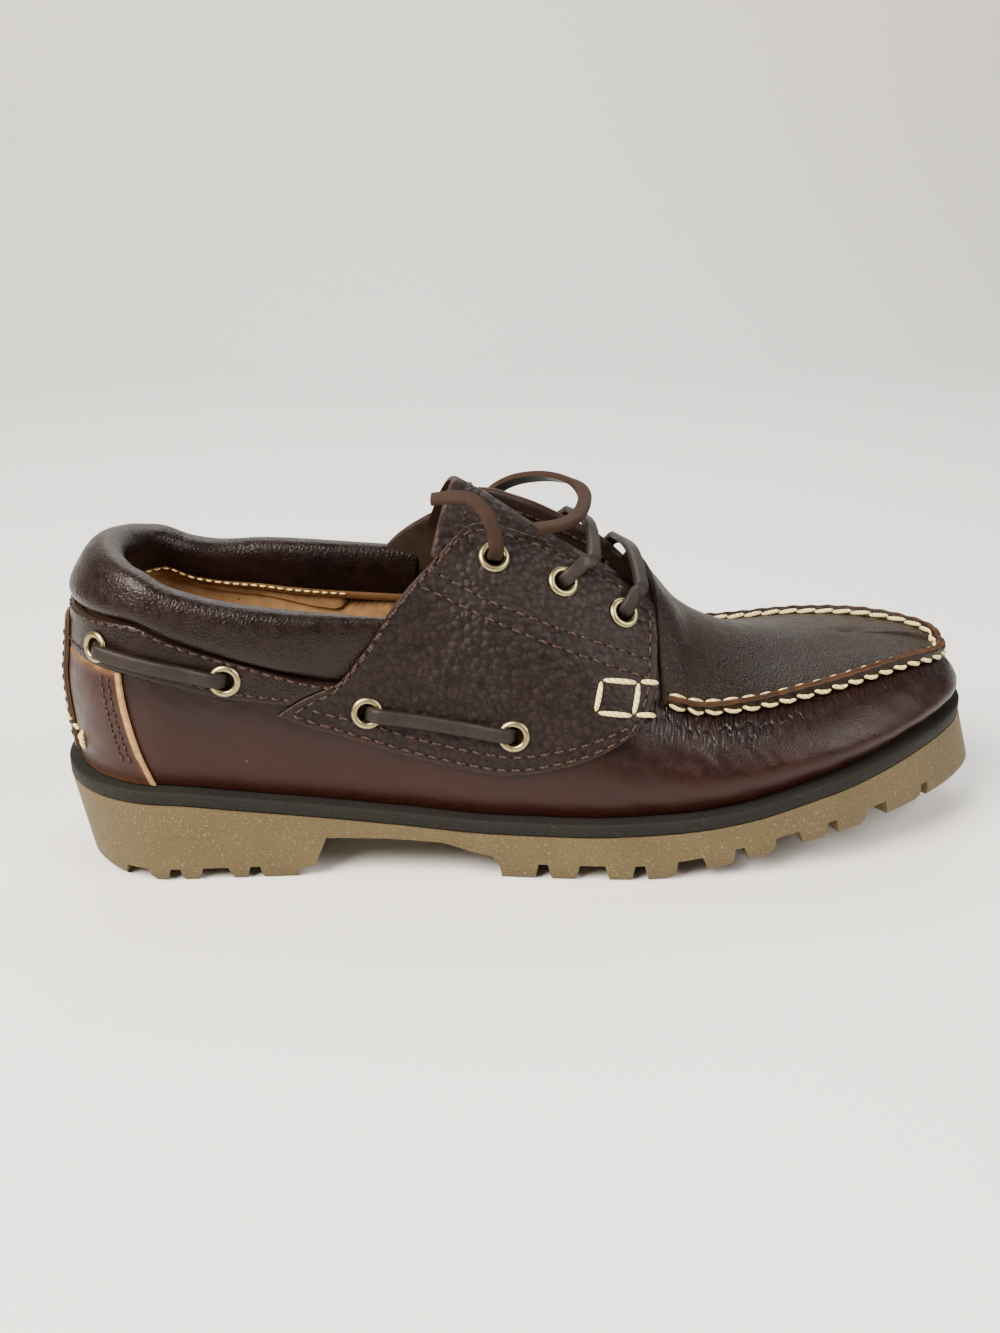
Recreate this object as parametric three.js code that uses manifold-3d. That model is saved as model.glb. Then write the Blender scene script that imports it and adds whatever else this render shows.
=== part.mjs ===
// Boat shoe for the right foot, in millimetres.
// The toe points along +X, the inner side of the foot is +Y, and the tread stands on Z = 0.
// Shares along the shoe run from 0 at the back of the heel to 1 at the tip of the toe.
import * as THREE from "three";
import { mergeVertices } from "three/addons/utils/BufferGeometryUtils.js";
import Module from "manifold-3d";

const wasm = await Module();
wasm.setup();

// Driving dimensions
const lastLength = 300; // top edge of the outsole, heel to toe
const toeJut = 5; // the tread reaches this far past the top edge at the toe
const heelTaper = 6.5; // the back of the heel leans in this far on its way down
const toeSwing = 7; // the toe turns this far to the inner side
const ballWidth = 106;
const heelWidth = 75;
const instepHeight = 86; // top of the eyestay over the feather line
const forefootThickness = 15.4; // outsole under the ball of the foot
const heelLift = 12.9; // the heel seat stands this much higher than the ball
const toeSpring = 20.6; // rise of the outsole's top edge at the toe
const toeRocker = 16.5; // rise of the tread at the toe
const midsoleThickness = 4.3;
const insoleThickness = 4;
const featherInset = 5; // the upper meets the midsole this far in from its edge
const wall = 2.2; // leather and lining of the upper
const panelThickness = 1.3; // saddle, band and counter
const gap = 0.3; // between pieces that touch
const plugThickness = 1.6;
const lipHeight = 4.4; // raised edge of the plug along the moccasin seam
const throatStart = 0.62; // share along the shoe where the throat opens
const medialRise = 3.5; // collar and facing stand this much higher on the inner side
const collarEnd = 0.29; // share along the shoe where the collar meets the saddle
const collarRise = 18.6; // padded collar over its seam
const collarDepth = 11.5; // thickness of the padding
const collarSetIn = 1.2; // the padding's middle stands this far inside the wall's
const collarSlant = 0.95; // the padding's ends lean forward with the saddle, per mm of height
const tongueThickness = 2.2;
const stripWidth = 26; // strip down the back of the heel
const tongueFree = 10; // the tongue stands this far out of the throat
const eyeletHole = 2.9; // radius of the hole through an eyelet
const eyeletWall = 0.5;
const flangeRadius = 5;
const flangeThickness = 0.8;
const laceWidth = 4.5;
const laceThickness = 2.2;
const lugDepth = 5.6; // notches between the forefoot lugs
const heelLugDepth = 4.4;
const lugReach = 24; // notches run in this far from the edge of the tread
const wideNotch = 11;
const narrowNotch = 5.4;
const notchDraft = 3.2; // a wide notch is this much narrower at its top
const slotDepth = 3.2; // slots across the middle of the tread
const slotWidth = 26.4;
const treadBevel = 2.2; // the outsole is this much narrower at the floor

const heelBack = -lastLength / 2 - toeJut / 2;
const lateral = -1;
const medial = 1;

// Small helpers for curves through tables
const named = (names, rows) =>
  rows.map((row) => Object.fromEntries(names.map((name, place) => [name, row[place]])));

const smooth = (value) => {
  const t = THREE.MathUtils.clamp(value, 0, 1);
  return t * t * (3 - 2 * t);
};

// A curve through points that never overshoots them
function curveThrough(xs, ys) {
  const steps = xs.slice(1).map((x, i) => x - xs[i]);
  const slopes = steps.map((step, i) => (ys[i + 1] - ys[i]) / step);
  const tangents = xs.map((x, i) => {
    if (i === 0) return slopes[0];
    if (i === xs.length - 1) return slopes[i - 1];
    if (slopes[i - 1] * slopes[i] <= 0) return 0;
    const before = 2 * steps[i] + steps[i - 1];
    const after = steps[i] + 2 * steps[i - 1];
    return (before + after) / (before / slopes[i - 1] + after / slopes[i]);
  });
  return (value) => {
    const x = THREE.MathUtils.clamp(value, xs[0], xs[xs.length - 1]);
    let i = 0;
    while (i < steps.length - 1 && x > xs[i + 1]) i += 1;
    const t = (x - xs[i]) / steps[i];
    const rise = t * t * (3 - 2 * t);
    const leave = t * (1 - t) * (1 - t) * steps[i] * tangents[i];
    const arrive = t * t * (1 - t) * steps[i] * tangents[i + 1];
    return ys[i] * (1 - rise) + ys[i + 1] * rise + leave - arrive;
  };
}

const column = (table, name) =>
  curveThrough(table.map((row) => row.along), table.map((row) => row[name]));

// Outline of the sole: half widths as shares of the local width, outer side and inner side
const outlineTable = named(["along", "outer", "inner"], [
  [0, 0.5, 0.473],
  [0.06, 0.507, 0.48],
  [0.14, 0.511, 0.487],
  [0.25, 0.52, 0.473],
  [0.35, 0.531, 0.459],
  [0.45, 0.528, 0.448],
  [0.55, 0.524, 0.451],
  [0.64, 0.52, 0.465],
  [0.72, 0.52, 0.48],
  [0.8, 0.499, 0.47],
  [0.88, 0.447, 0.433],
  [0.94, 0.405, 0.395],
  [1, 0.367, 0.357],
]);

// Side profile of the sole: shares of the heel lift, the toe spring and the toe rocker
const profileTable = named(["along", "lift", "spring", "rocker"], [
  [0, 1, 0, 0],
  [0.11, 0.9, 0, 0],
  [0.19, 0.68, 0, 0],
  [0.27, 0.45, 0, 0],
  [0.35, 0.225, 0, 0],
  [0.45, 0.02, 0, 0],
  [0.55, 0, 0, 0],
  [0.6, 0, 0.03, 0],
  [0.66, 0, 0.09, 0.12],
  [0.716, 0, 0.2, 0.32],
  [0.76, 0, 0.34, 0.48],
  [0.8, 0, 0.475, 0.62],
  [0.873, 0, 0.7, 0.78],
  [0.93, 0, 0.865, 0.9],
  [1, 0, 1, 1],
]);

// Sections of the last: heights as shares of the instep height, half widths as shares of the outline's.
// bulge is the fullest line of the side, shoulder the moccasin seam or the foot of the band,
// edge the collar seam or the facing, spine the ridge of the toe, and crease how sharp the seam turns.
const sectionTable = named(
  ["along", "bulgeUp", "bulgeOut", "shoulderUp", "shoulderOut", "edgeUp", "edgeOut", "spineUp", "crease"],
  [
    [0, 0.29, 0.9, 0.435, 0.875, 0.594, 0.83, 0, 0],
    [0.08, 0.28, 0.92, 0.42, 0.9, 0.598, 0.85, 0, 0],
    [0.13, 0.27, 0.935, 0.39, 0.925, 0.545, 0.885, 0, 0],
    [0.2, 0.26, 0.95, 0.365, 0.945, 0.5, 0.92, 0, 0],
    [0.29, 0.25, 0.96, 0.37, 0.945, 0.452, 0.935, 0, 0],
    [0.325, 0.25, 0.965, 0.41, 0.93, 0.585, 0.91, 0, 0],
    [0.36, 0.25, 0.965, 0.51, 0.88, 0.765, 0.8, 0, 0],
    [0.4, 0.235, 0.965, 0.62, 0.81, 0.905, 0.61, 0, 0],
    [0.445, 0.225, 0.965, 0.68, 0.76, 1.015, 0.43, 0, 0],
    [0.5, 0.21, 0.965, 0.62, 0.755, 0.965, 0.395, 0, 0],
    [0.56, 0.19, 0.965, 0.53, 0.75, 0.86, 0.385, 0, 0],
    [0.62, 0.165, 0.965, 0.4, 0.74, 0.71, 0.4, 0.79, 0.35],
    [0.645, 0.155, 0.965, 0.365, 0.73, 0.63, 0.4, 0.675, 0.7],
    [0.67, 0.15, 0.965, 0.33, 0.72, 0.52, 0.38, 0.58, 1],
    [0.72, 0.14, 0.965, 0.3, 0.705, 0.41, 0.37, 0.47, 1],
    [0.76, 0.13, 0.965, 0.277, 0.69, 0.352, 0.36, 0.405, 1],
    [0.85, 0.105, 0.955, 0.24, 0.655, 0.285, 0.34, 0.315, 1],
    [0.93, 0.08, 0.95, 0.2, 0.62, 0.227, 0.32, 0.25, 1],
    [1, 0.06, 0.95, 0.152, 0.6, 0.19, 0.3, 0.202, 1],
  ],
);

// How far each guide line is drawn in from the ends of the last, in mm
const drawnIn = {
  feather: { heel: 5.5, toe: 4.5 },
  bulge: { heel: 4.2, toe: 1.2 },
  shoulder: { heel: 5.6, toe: 7.5 },
  edge: { heel: 7.5, toe: 22 },
  spine: { heel: 5, toe: 40 },
};

const outer = column(outlineTable, "outer");
const inner = column(outlineTable, "inner");
const lift = column(profileTable, "lift");
const spring = column(profileTable, "spring");
const rocker = column(profileTable, "rocker");
const section = Object.fromEntries(
  Object.keys(sectionTable[0]).slice(1).map((name) => [name, column(sectionTable, name)]),
);

// Plan and side profile of the sole
const alongX = (along) => heelBack + lastLength * along;
const outsoleTop = (along) => forefootThickness + heelLift * lift(along) + toeSpring * spring(along);
const treadUp = (along) => toeRocker * rocker(along);
const midsoleTop = (along) => outsoleTop(along) + gap + midsoleThickness;
const middleY = (along) => toeSwing * (smooth((along - 0.45) / 0.55) - 0.17);

function halfWidth(along, side) {
  const local = heelWidth + (ballWidth - heelWidth) * smooth((along - 0.3) / 0.4);
  return (side === lateral ? outer(along) : inner(along)) * local;
}

// The outline closes with a round heel and a fuller toe
function endRounding(along) {
  const heelRound = 0.115;
  const toeRound = 0.2;
  const heel = THREE.MathUtils.clamp((heelRound - along) / heelRound, 0, 1);
  const toe = THREE.MathUtils.clamp((along - 1 + toeRound) / toeRound, 0, 1);
  return Math.sqrt(1 - heel * heel) * Math.pow(1 - Math.pow(toe, 2.2), 1 / 2.2);
}

// Guide lines of the upper from the feather line (0) to the ridge (4)
function drawnX(along, guide) {
  const fromHeel = Math.max(0, 1 - along / 0.3);
  const fromToe = Math.max(0, 1 - (1 - along) / 0.35);
  return alongX(along) + guide.heel * fromHeel * fromHeel - guide.toe * fromToe * fromToe;
}

const ridgeShift = (along) => 3 * smooth((along - 0.36) / 0.08) * (1 - smooth((along - 0.6) / 0.1));

function guidePoints(along, side) {
  const centre = middleY(along);
  const ends = endRounding(along);
  const half = halfWidth(along, side);
  const base = midsoleTop(along) + gap;
  const innerRise = side === medial ? 1 : 0;
  const hump = (from, to, fadeFrom, fadeTo) =>
    smooth((along - from) / (to - from)) * (1 - smooth((along - fadeFrom) / (fadeTo - fadeFrom)));
  const quarterRise = innerRise * medialRise * hump(0.12, 0.24, 0.34, 0.44);
  const facingRise = innerRise * medialRise * hump(0.4, 0.48, 0.58, 0.65);
  const seamRise = innerRise * section.crease(along);
  const at = (guide, out, up, shift = 0) =>
    new THREE.Vector3(drawnX(along, guide), centre + shift + side * half * out * ends, base + up);
  const feather = at(drawnIn.feather, 1, 0);
  feather.y -= side * featherInset * ends;
  return [
    feather,
    at(drawnIn.bulge, section.bulgeOut(along), instepHeight * section.bulgeUp(along)),
    at(
      drawnIn.shoulder,
      section.shoulderOut(along),
      instepHeight * section.shoulderUp(along) + 0.7 * quarterRise + 1.5 * seamRise,
    ),
    at(
      drawnIn.edge,
      section.edgeOut(along),
      instepHeight * section.edgeUp(along) + quarterRise + facingRise + 0.7 * seamRise,
      ridgeShift(along),
    ),
    at(drawnIn.spine, 0, instepHeight * section.spineUp(along), ridgeShift(along)),
  ];
}

const between = (from, to, x, y, z) =>
  new THREE.Vector3((to.x - from.x) * x, (to.y - from.y) * y, (to.z - from.z) * z);

function hermite(from, to, leave, arrive, t) {
  const rise = t * t * (3 - 2 * t);
  return new THREE.Vector3()
    .addScaledVector(from, 1 - rise)
    .addScaledVector(to, rise)
    .addScaledVector(leave, t * (1 - t) * (1 - t))
    .addScaledVector(arrive, -t * t * (1 - t));
}

// A point of the last's surface
function onLast(along, side, up) {
  const [feather, bulge, shoulder, edge, spine] = guidePoints(along, side);
  const sharp = section.crease(along);
  const round = between(bulge, edge, 0.5, 0.5, 0.5);
  const leaveFeather = between(feather, bulge, 1, 2.2, 0.9);
  const passBulge = between(feather, shoulder, 0.5, 0.5, 0.5);
  const reachSeam = round.clone().lerp(between(bulge, shoulder, 1, 1.5, 0.55), sharp);
  const leaveSeam = round.clone().lerp(between(shoulder, edge, 1, 0.9, 1.35), sharp);
  const passSeam = between(shoulder, spine, 0.5, 0.5, 0.5);
  const passEdge = between(shoulder, edge, 1, 1.1, 0.8).lerp(passSeam, sharp);
  const reachSpine = between(edge, spine, 1, 1.3, 0.15);
  const stage = Math.min(3, Math.floor(up));
  const t = up - stage;
  if (stage === 0) return hermite(feather, bulge, leaveFeather, passBulge, t);
  if (stage === 1) return hermite(bulge, shoulder, passBulge, reachSeam, t);
  if (stage === 2) return hermite(shoulder, edge, leaveSeam, passEdge, t);
  return hermite(edge, spine, passEdge, reachSpine, t);
}

// Stations round the shoe: heel, outer side, toe, inner side
const corners = [0, collarEnd, 0.445, throatStart, 1];
const stepsBetween = [8, 4, 4, 10];
const angleAt = (along) => Math.acos(1 - 2 * along);
const oneSide = [0];
stepsBetween.forEach((count, i) => {
  const from = angleAt(corners[i]);
  const to = angleAt(corners[i + 1]);
  for (let step = 1; step <= count; step += 1) {
    oneSide.push((1 - Math.cos(from + ((to - from) * step) / count)) / 2);
  }
});
const toeStation = oneSide.length - 1;
const stationCount = 2 * toeStation;
const station = (index) => {
  const place = (index + stationCount) % stationCount;
  return place <= toeStation
    ? { along: oneSide[place], side: lateral }
    : { along: oneSide[stationCount - place], side: medial };
};

// Rows from the feather line to the ridge; the row just over the seam is close to it at the heel
const rows = [0, 0.4, 1, 1.35, 1.68, 2, 2.14, 2.32, 2.66, 3, 3.45, 4];
const seamRow = 5;
const edgeRow = 9;
const spineRow = 11;
const rowUp = (row, along) => {
  if (row !== seamRow + 1) return rows[row];
  return 2 + THREE.MathUtils.lerp(0.035, 0.14, smooth((along - 0.3) / 0.3));
};

// Closed meshes from points and faces
function solidFrom(points, faces) {
  const geometry = new THREE.BufferGeometry();
  const flat = points.flatMap((point) => [point.x, point.y, point.z]);
  geometry.setAttribute("position", new THREE.Float32BufferAttribute(flat, 3));
  const triangles = faces.flatMap((face) => {
    const fan = [];
    for (let i = 2; i < face.length; i += 1) fan.push([face[0], face[i - 1], face[i]]);
    return fan.filter(([a, b, c]) => a !== b && b !== c && c !== a);
  });
  geometry.setIndex(triangles.flat());
  return geometry;
}

// A plate lofted through rings of stations, the lowest ring first
function plate(rings) {
  const points = rings.flat();
  const faces = [];
  const id = (ring, index) => ring * stationCount + (index % stationCount);
  for (let ring = 0; ring < rings.length - 1; ring += 1) {
    for (let i = 0; i < stationCount; i += 1) {
      faces.push([id(ring, i), id(ring, i + 1), id(ring + 1, i + 1), id(ring + 1, i)]);
    }
  }
  const top = rings.length - 1;
  for (let i = 0; i < toeStation; i += 1) {
    const across = [i, i + 1, stationCount - i - 1, (stationCount - i) % stationCount];
    faces.push(across.map((index) => id(top, index)));
    faces.push(across.map((index) => id(0, index)).reverse());
  }
  return solidFrom(points, faces);
}

// A ring drawn in by a distance in plan
function drawnRing(ring, distance) {
  return ring.map((point, i) => {
    const before = ring[(i + ring.length - 1) % ring.length];
    const after = ring[(i + 1) % ring.length];
    const inward = new THREE.Vector3(before.y - after.y, after.x - before.x, 0).normalize();
    return point.clone().addScaledVector(inward, distance);
  });
}

const ringOf = (place) => Array.from({ length: stationCount }, (unused, i) => place(station(i)));

// The skin of the last as one grid, with the two sides joined along the ridge
function lastSkin() {
  const points = [];
  const ids = [];
  for (let i = 0; i < stationCount; i += 1) {
    const { along, side } = station(i);
    const last = along > throatStart - 1e-6 ? spineRow : edgeRow;
    ids.push([]);
    for (let row = 0; row <= last; row += 1) {
      const twin = row === spineRow && i > toeStation ? ids[stationCount - i][row] : points.length;
      if (twin === points.length) points.push(onLast(along, side, rowUp(row, along)));
      ids[i].push(twin);
    }
  }
  const cells = [];
  for (let i = 0; i < stationCount; i += 1) {
    const next = (i + 1) % stationCount;
    const middle = (station(i).along + station(i + 1).along) / 2;
    const side = i < toeStation ? lateral : medial;
    for (let row = 0; row < Math.min(ids[i].length, ids[next].length) - 1; row += 1) {
      const ring = [ids[i][row], ids[next][row], ids[next][row + 1], ids[i][row + 1]];
      cells.push({ ring, row, along: middle, side });
    }
  }
  const normals = points.map(() => new THREE.Vector3());
  cells.forEach(({ ring }) => {
    const [a, b, c, d] = ring.map((id) => points[id]);
    const facing = c.clone().sub(a).cross(d.clone().sub(b));
    ring.forEach((id) => normals[id].add(facing));
  });
  normals.forEach((normal) => normal.normalize());
  return { points, normals, cells, ids };
}

const skin = lastSkin();

// A layer of leather between two heights over the skin, on the cells that are kept
function layer(low, high, kept) {
  const cells = skin.cells.filter(kept);
  const used = [...new Set(cells.flatMap(({ ring }) => ring))];
  const place = new Map(used.map((id, i) => [id, i]));
  const height = (level, id) => (typeof level === "function" ? level(id) : level);
  const lifted = (level) =>
    used.map((id) => skin.points[id].clone().addScaledVector(skin.normals[id], height(level, id)));
  const points = [...lifted(high), ...lifted(low)];
  const faces = [];
  const edges = new Set();
  const sides = cells.map(({ ring }) => ring.map((id) => place.get(id)));
  sides.forEach((ring) => {
    faces.push(ring);
    faces.push([ring[0], ...ring.slice(1).reverse()].map((id) => id + used.length));
    ring.forEach((id, i) => edges.add(`${id} ${ring[(i + 1) % ring.length]}`));
  });
  edges.forEach((edge) => {
    const [from, to] = edge.split(" ").map(Number);
    if (from === to || edges.has(`${to} ${from}`)) return;
    faces.push([to, from, from + used.length, to + used.length]);
  });
  return solidFrom(points, faces);
}

// Solids that join and cut
function asSolid(geometry) {
  const bare = geometry.clone();
  bare.deleteAttribute("normal");
  bare.deleteAttribute("uv");
  const merged = mergeVertices(bare, 1e-4);
  return new wasm.Manifold(
    new wasm.Mesh({
      numProp: 3,
      vertProperties: new Float32Array(merged.attributes.position.array),
      triVerts: new Uint32Array(merged.index.array),
    }),
  );
}

function asGeometry(solid) {
  const mesh = solid.getMesh();
  const geometry = new THREE.BufferGeometry();
  geometry.setAttribute("position", new THREE.BufferAttribute(mesh.vertProperties, 3));
  geometry.setIndex(new THREE.BufferAttribute(mesh.triVerts, 1));
  return geometry;
}

const without = (geometry, cutters) =>
  asGeometry(cutters.reduce((solid, cutter) => solid.subtract(asSolid(cutter)), asSolid(geometry)));
const within = (geometry, form) => asGeometry(asSolid(geometry).intersect(asSolid(form)));

// A prism whose outline is drawn in the side view (x, z), from one y to another
function sidePrism(outline, fromY, toY) {
  const shape = new THREE.Shape(outline.map(([x, z]) => new THREE.Vector2(x, z)));
  const prism = new THREE.ExtrudeGeometry(shape, { depth: Math.abs(toY - fromY), bevelEnabled: false });
  prism.rotateX(Math.PI / 2);
  prism.translate(0, Math.max(fromY, toY), 0);
  return prism;
}

// A point over the last's surface with the direction that faces away from it
function footing(along, side, up, height = 0) {
  const step = 0.004;
  const forward = onLast(along + step, side, up).sub(onLast(along - step, side, up));
  const upward = onLast(along, side, up + 0.03).sub(onLast(along, side, up - 0.03));
  const normal = forward.clone().cross(upward).normalize();
  if (side === medial) normal.negate();
  const point = onLast(along, side, up).addScaledVector(normal, height);
  return { point, normal, forward: forward.normalize() };
}

const toeShare = (along) => smooth((along - 0.82) / 0.18);

// Outsole: heel block, waist, forefoot block and the notches between the lugs
function outsoleGeometry() {
  const ring = (heelIn, toeOut, narrower, up) =>
    ringOf(({ along, side }) => {
      const fromHeel = Math.max(0, 1 - along / 0.16);
      const x = alongX(along) + heelIn * fromHeel + toeOut * toeShare(along);
      const half = (halfWidth(along, side) - narrower) * endRounding(along);
      return new THREE.Vector3(x, middleY(along) + side * half, up(along));
    });
  const bevelTop = (along) => treadUp(along) + treadBevel;
  const body = plate([
    ring(heelTaper, toeJut - treadBevel / 2, treadBevel, treadUp),
    ring(heelTaper * 0.75, toeJut, treadBevel / 3, bevelTop),
    ring(0, 0, 0, outsoleTop),
  ]);
  const notches = [lateral, medial].flatMap((side) => notchTable.map((notch) => notchCut(notch, side)));
  return without(body, [waistCut(), ...notches, ...slotShares.map(slotCut)]);
}

// Underside of the waist, from the breast of the heel to the forefoot block, as shares of the outsole's top
const waistTable = named(["along", "up"], [
  [0.246, -0.18],
  [0.249, 0.154],
  [0.266, 0.205],
  [0.272, 0.42],
  [0.279, 0.673],
  [0.34, 0.723],
  [0.4, 0.737],
  [0.43, 0.588],
  [0.452, 0.487],
  [0.46, 0.346],
  [0.463, -0.25],
]);

function waistCut() {
  const outline = waistTable.map(({ along, up }) => [alongX(along), up * outsoleTop(along)]);
  return sidePrism(outline, -ballWidth, ballWidth);
}

// Notches along both edges of the tread, wide and narrow by turns
const notchTable = named(["along", "width", "depth"], [
  [0.078, wideNotch, heelLugDepth],
  [0.12, narrowNotch, heelLugDepth],
  [0.162, wideNotch, heelLugDepth],
  [0.203, narrowNotch, heelLugDepth],
  [0.504, narrowNotch, lugDepth],
  [0.555, wideNotch, lugDepth],
  [0.605, narrowNotch, lugDepth],
  [0.66, wideNotch, lugDepth],
  [0.713, narrowNotch, lugDepth],
  [0.765, wideNotch, lugDepth],
  [0.814, narrowNotch, lugDepth],
  [0.865, wideNotch, lugDepth],
  [0.922, narrowNotch, lugDepth],
]);

function notchShape(width, depth) {
  const shape = new THREE.Shape();
  const top = Math.max(width * 0.55, width - notchDraft);
  shape.moveTo(-width / 2 - 0.8, -depth / 2);
  shape.lineTo(width / 2 + 0.8, -depth / 2);
  shape.lineTo(width / 2, 0);
  shape.lineTo(top / 2, depth);
  shape.lineTo(-top / 2, depth);
  shape.lineTo(-width / 2, 0);
  return shape;
}

// The point on the edge of the tread at a share along the shoe
function treadEdge(along, side) {
  const y = middleY(along) + side * halfWidth(along, side) * endRounding(along);
  return new THREE.Vector3(alongX(along) + toeJut * toeShare(along), y, treadUp(along));
}

// A notch runs square to the edge of the tread and starts outside of it
function notchCut({ along, width, depth }, side) {
  const clear = 6;
  const here = treadEdge(along, side);
  const ahead = treadEdge(along + 0.01, side).sub(treadEdge(along - 0.01, side)).normalize();
  const inward = new THREE.Vector3(-ahead.y, ahead.x, 0).multiplyScalar(-side).normalize();
  const upward = new THREE.Vector3().crossVectors(ahead, inward).multiplyScalar(-side).normalize();
  const run = { depth: lugReach + clear, bevelEnabled: false };
  const cut = new THREE.ExtrudeGeometry(notchShape(width, depth), run);
  const sideways = new THREE.Vector3().crossVectors(ahead, upward);
  cut.translate(0, 0, sideways.dot(inward) > 0 ? -clear : -lugReach);
  cut.applyMatrix4(new THREE.Matrix4().makeBasis(ahead, upward, sideways));
  cut.translate(here.x, here.y, here.z);
  return cut;
}

// Slots across the middle of the tread
const slotShares = [0.1, 0.53, 0.685, 0.79];

function slotCut(along) {
  const cut = new THREE.BoxGeometry(narrowNotch, slotWidth, 2 * slotDepth);
  const rise = treadUp(along + 0.01) - treadUp(along - 0.01);
  cut.rotateY(-Math.atan2(rise, 0.02 * lastLength));
  cut.translate(alongX(along), middleY(along), treadUp(along));
  return cut;
}

// Midsole: an even rand, flush with the outsole
function midsoleGeometry() {
  const ring = (up) =>
    ringOf(({ along, side }) => {
      const y = middleY(along) + side * halfWidth(along, side) * endRounding(along);
      return new THREE.Vector3(alongX(along), y, up(along));
    });
  return plate([ring((along) => outsoleTop(along) + gap), ring(midsoleTop)]);
}

// Insole: inside the foot of the upper
function insoleGeometry() {
  const ring = ringOf(({ along, side }) => onLast(along, side, 0));
  const low = drawnRing(ring, wall + 2 * gap);
  const high = drawnRing(ring, wall + 4 * gap);
  high.forEach((point) => {
    point.z += insoleThickness;
  });
  return plate([low, high]);
}

const roundSides = 8;
const rivetClearance = 0.1; // the flange of an eyelet stands this far over its seat
const panelLow = gap;
const panelHigh = gap + panelThickness;

// Eyelets: where they sit, as share along the shoe and height on the last
const facingEyelets = [
  { along: 0.46, up: 2.66 },
  { along: 0.53, up: 2.66, bow: 0.035 },
  { along: 0.593, up: 2.66, bow: 0.017 },
];
const sideEyelets = [
  { along: 0.045, up: 2.42 },
  { along: 0.183, up: 2.5 },
  { along: 0.327, up: 1.72 },
  { along: 0.475, up: 1.28 },
];

function eyeletSeat({ along, up }, side) {
  return footing(along, side, up, panelHigh + gap);
}

// Turns a shape's own Z axis to face away from the leather
function facing(geometry, { point, normal }) {
  geometry.applyQuaternion(new THREE.Quaternion().setFromUnitVectors(new THREE.Vector3(0, 0, 1), normal));
  geometry.translate(point.x, point.y, point.z);
  return geometry;
}

function eyeletGeometry(seat) {
  const outside = eyeletHole + eyeletWall;
  const depth = panelHigh + gap + wall + gap;
  const profile = [
    [eyeletHole, -depth],
    [outside, -depth],
    [outside, rivetClearance],
    [flangeRadius, rivetClearance],
    [flangeRadius - 0.3, flangeThickness],
    [eyeletHole, flangeThickness],
    [eyeletHole, -depth],
  ].map(([radius, up]) => new THREE.Vector2(radius, up));
  const ring = new THREE.LatheGeometry(profile, roundSides);
  ring.rotateX(Math.PI / 2);
  return facing(ring, seat);
}

function holeCutter(seat) {
  const radius = (eyeletHole + eyeletWall + gap) / Math.cos(Math.PI / roundSides);
  const hole = new THREE.CylinderGeometry(radius, radius, 4 * flangeRadius, roundSides);
  hole.rotateX(Math.PI / 2);
  return facing(hole, seat);
}

const holesOn = (side) =>
  [...facingEyelets, ...sideEyelets].map((eyelet) => holeCutter(eyeletSeat(eyelet, side)));
const allHoles = [...holesOn(lateral), ...holesOn(medial)];

// Upper: one wall from the feather line to collar, facing and throat
function upperGeometry() {
  return without(layer(-wall, 0, () => true), allHoles);
}

// Plug: the apron inside the moccasin seam, its edge turned up
function plugGeometry() {
  const lipRows = new Set();
  skin.ids.forEach((rib) => {
    lipRows.add(rib[seamRow]);
    lipRows.add(rib[seamRow + 1]);
  });
  const height = (id) => gap + plugThickness + (lipRows.has(id) ? lipHeight - plugThickness : 0);
  const whole = layer(gap, height, ({ row, along }) => row >= seamRow && along > throatStart);
  const rear = saddleOutline.at(-1)[0] + gap;
  const front = rear + lastLength;
  const ahead = [[rear, 0], [front, 0], [front, 2 * instepHeight], [rear, 2 * instepHeight]];
  return within(whole, sidePrism(ahead, -ballWidth, ballWidth));
}

// Outlines in the side view, with heights as shares of the instep height over the feather line
const sideView = (table) =>
  table.map(({ along, up }) => [alongX(along), midsoleTop(along) + gap + instepHeight * up]);

// Saddle: rear edge down to the side of the shoe, then forward under the instep and up its front edge
const saddleOutline = sideView(named(["along", "up"], [
  [0.43, 1.1],
  [0.405, 0.905],
  [0.358, 0.759],
  [0.33, 0.611],
  [0.3, 0.478],
  [0.262, 0.397],
  [0.236, 0.327],
  [0.27, 0.295],
  [0.32, 0.258],
  [0.38, 0.213],
  [0.46, 0.18],
  [0.522, 0.212],
  [0.562, 0.258],
  [0.596, 0.31],
  [0.614, 0.372],
  [0.624, 0.451],
  [0.63, 0.59],
  [0.63, 1.1],
]));

function saddleGeometry(side) {
  const whole = layer(panelLow, panelHigh, (cell) => {
    return cell.side === side && cell.row < edgeRow && cell.along > 0.1 && cell.along < 0.66;
  });
  return without(within(whole, sidePrism(saddleOutline, 0, side * ballWidth)), holesOn(side));
}

const farBehind = alongX(-0.1);

// Band: under the collar seam, from saddle to saddle round the heel
function bandGeometry() {
  const whole = layer(panelLow, panelHigh, ({ row, along }) => {
    return row > seamRow && row < edgeRow && along < collarEnd;
  });
  const rear = saddleOutline.slice(1, 7).map(([x, z]) => [x - 2 * gap, z]);
  const [headX] = rear[0];
  const [footX] = rear.at(-1);
  const high = 2 * instepHeight;
  const behind = [[farBehind, 0], [footX, 0], ...rear.reverse(), [headX, high], [farBehind, high]];
  return without(within(whole, sidePrism(behind, -ballWidth, ballWidth)), allHoles);
}

// Counter: round the back of the heel under the band
const counterFront = sideView(named(["along", "up"], [
  [0.06, 0.551],
  [0.068, 0.365],
  [0.077, 0.255],
  [0.09, 0.125],
  [0.106, -0.03],
]));

function counterGeometry() {
  const whole = layer(panelLow, panelHigh, ({ row, along }) => row < seamRow && along < 0.2);
  const [, high] = counterFront[0];
  const [, low] = counterFront.at(-1);
  const behind = [...counterFront, [farBehind, low], [farBehind, high]];
  return within(whole, sidePrism(behind, -ballWidth, ballWidth));
}

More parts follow.
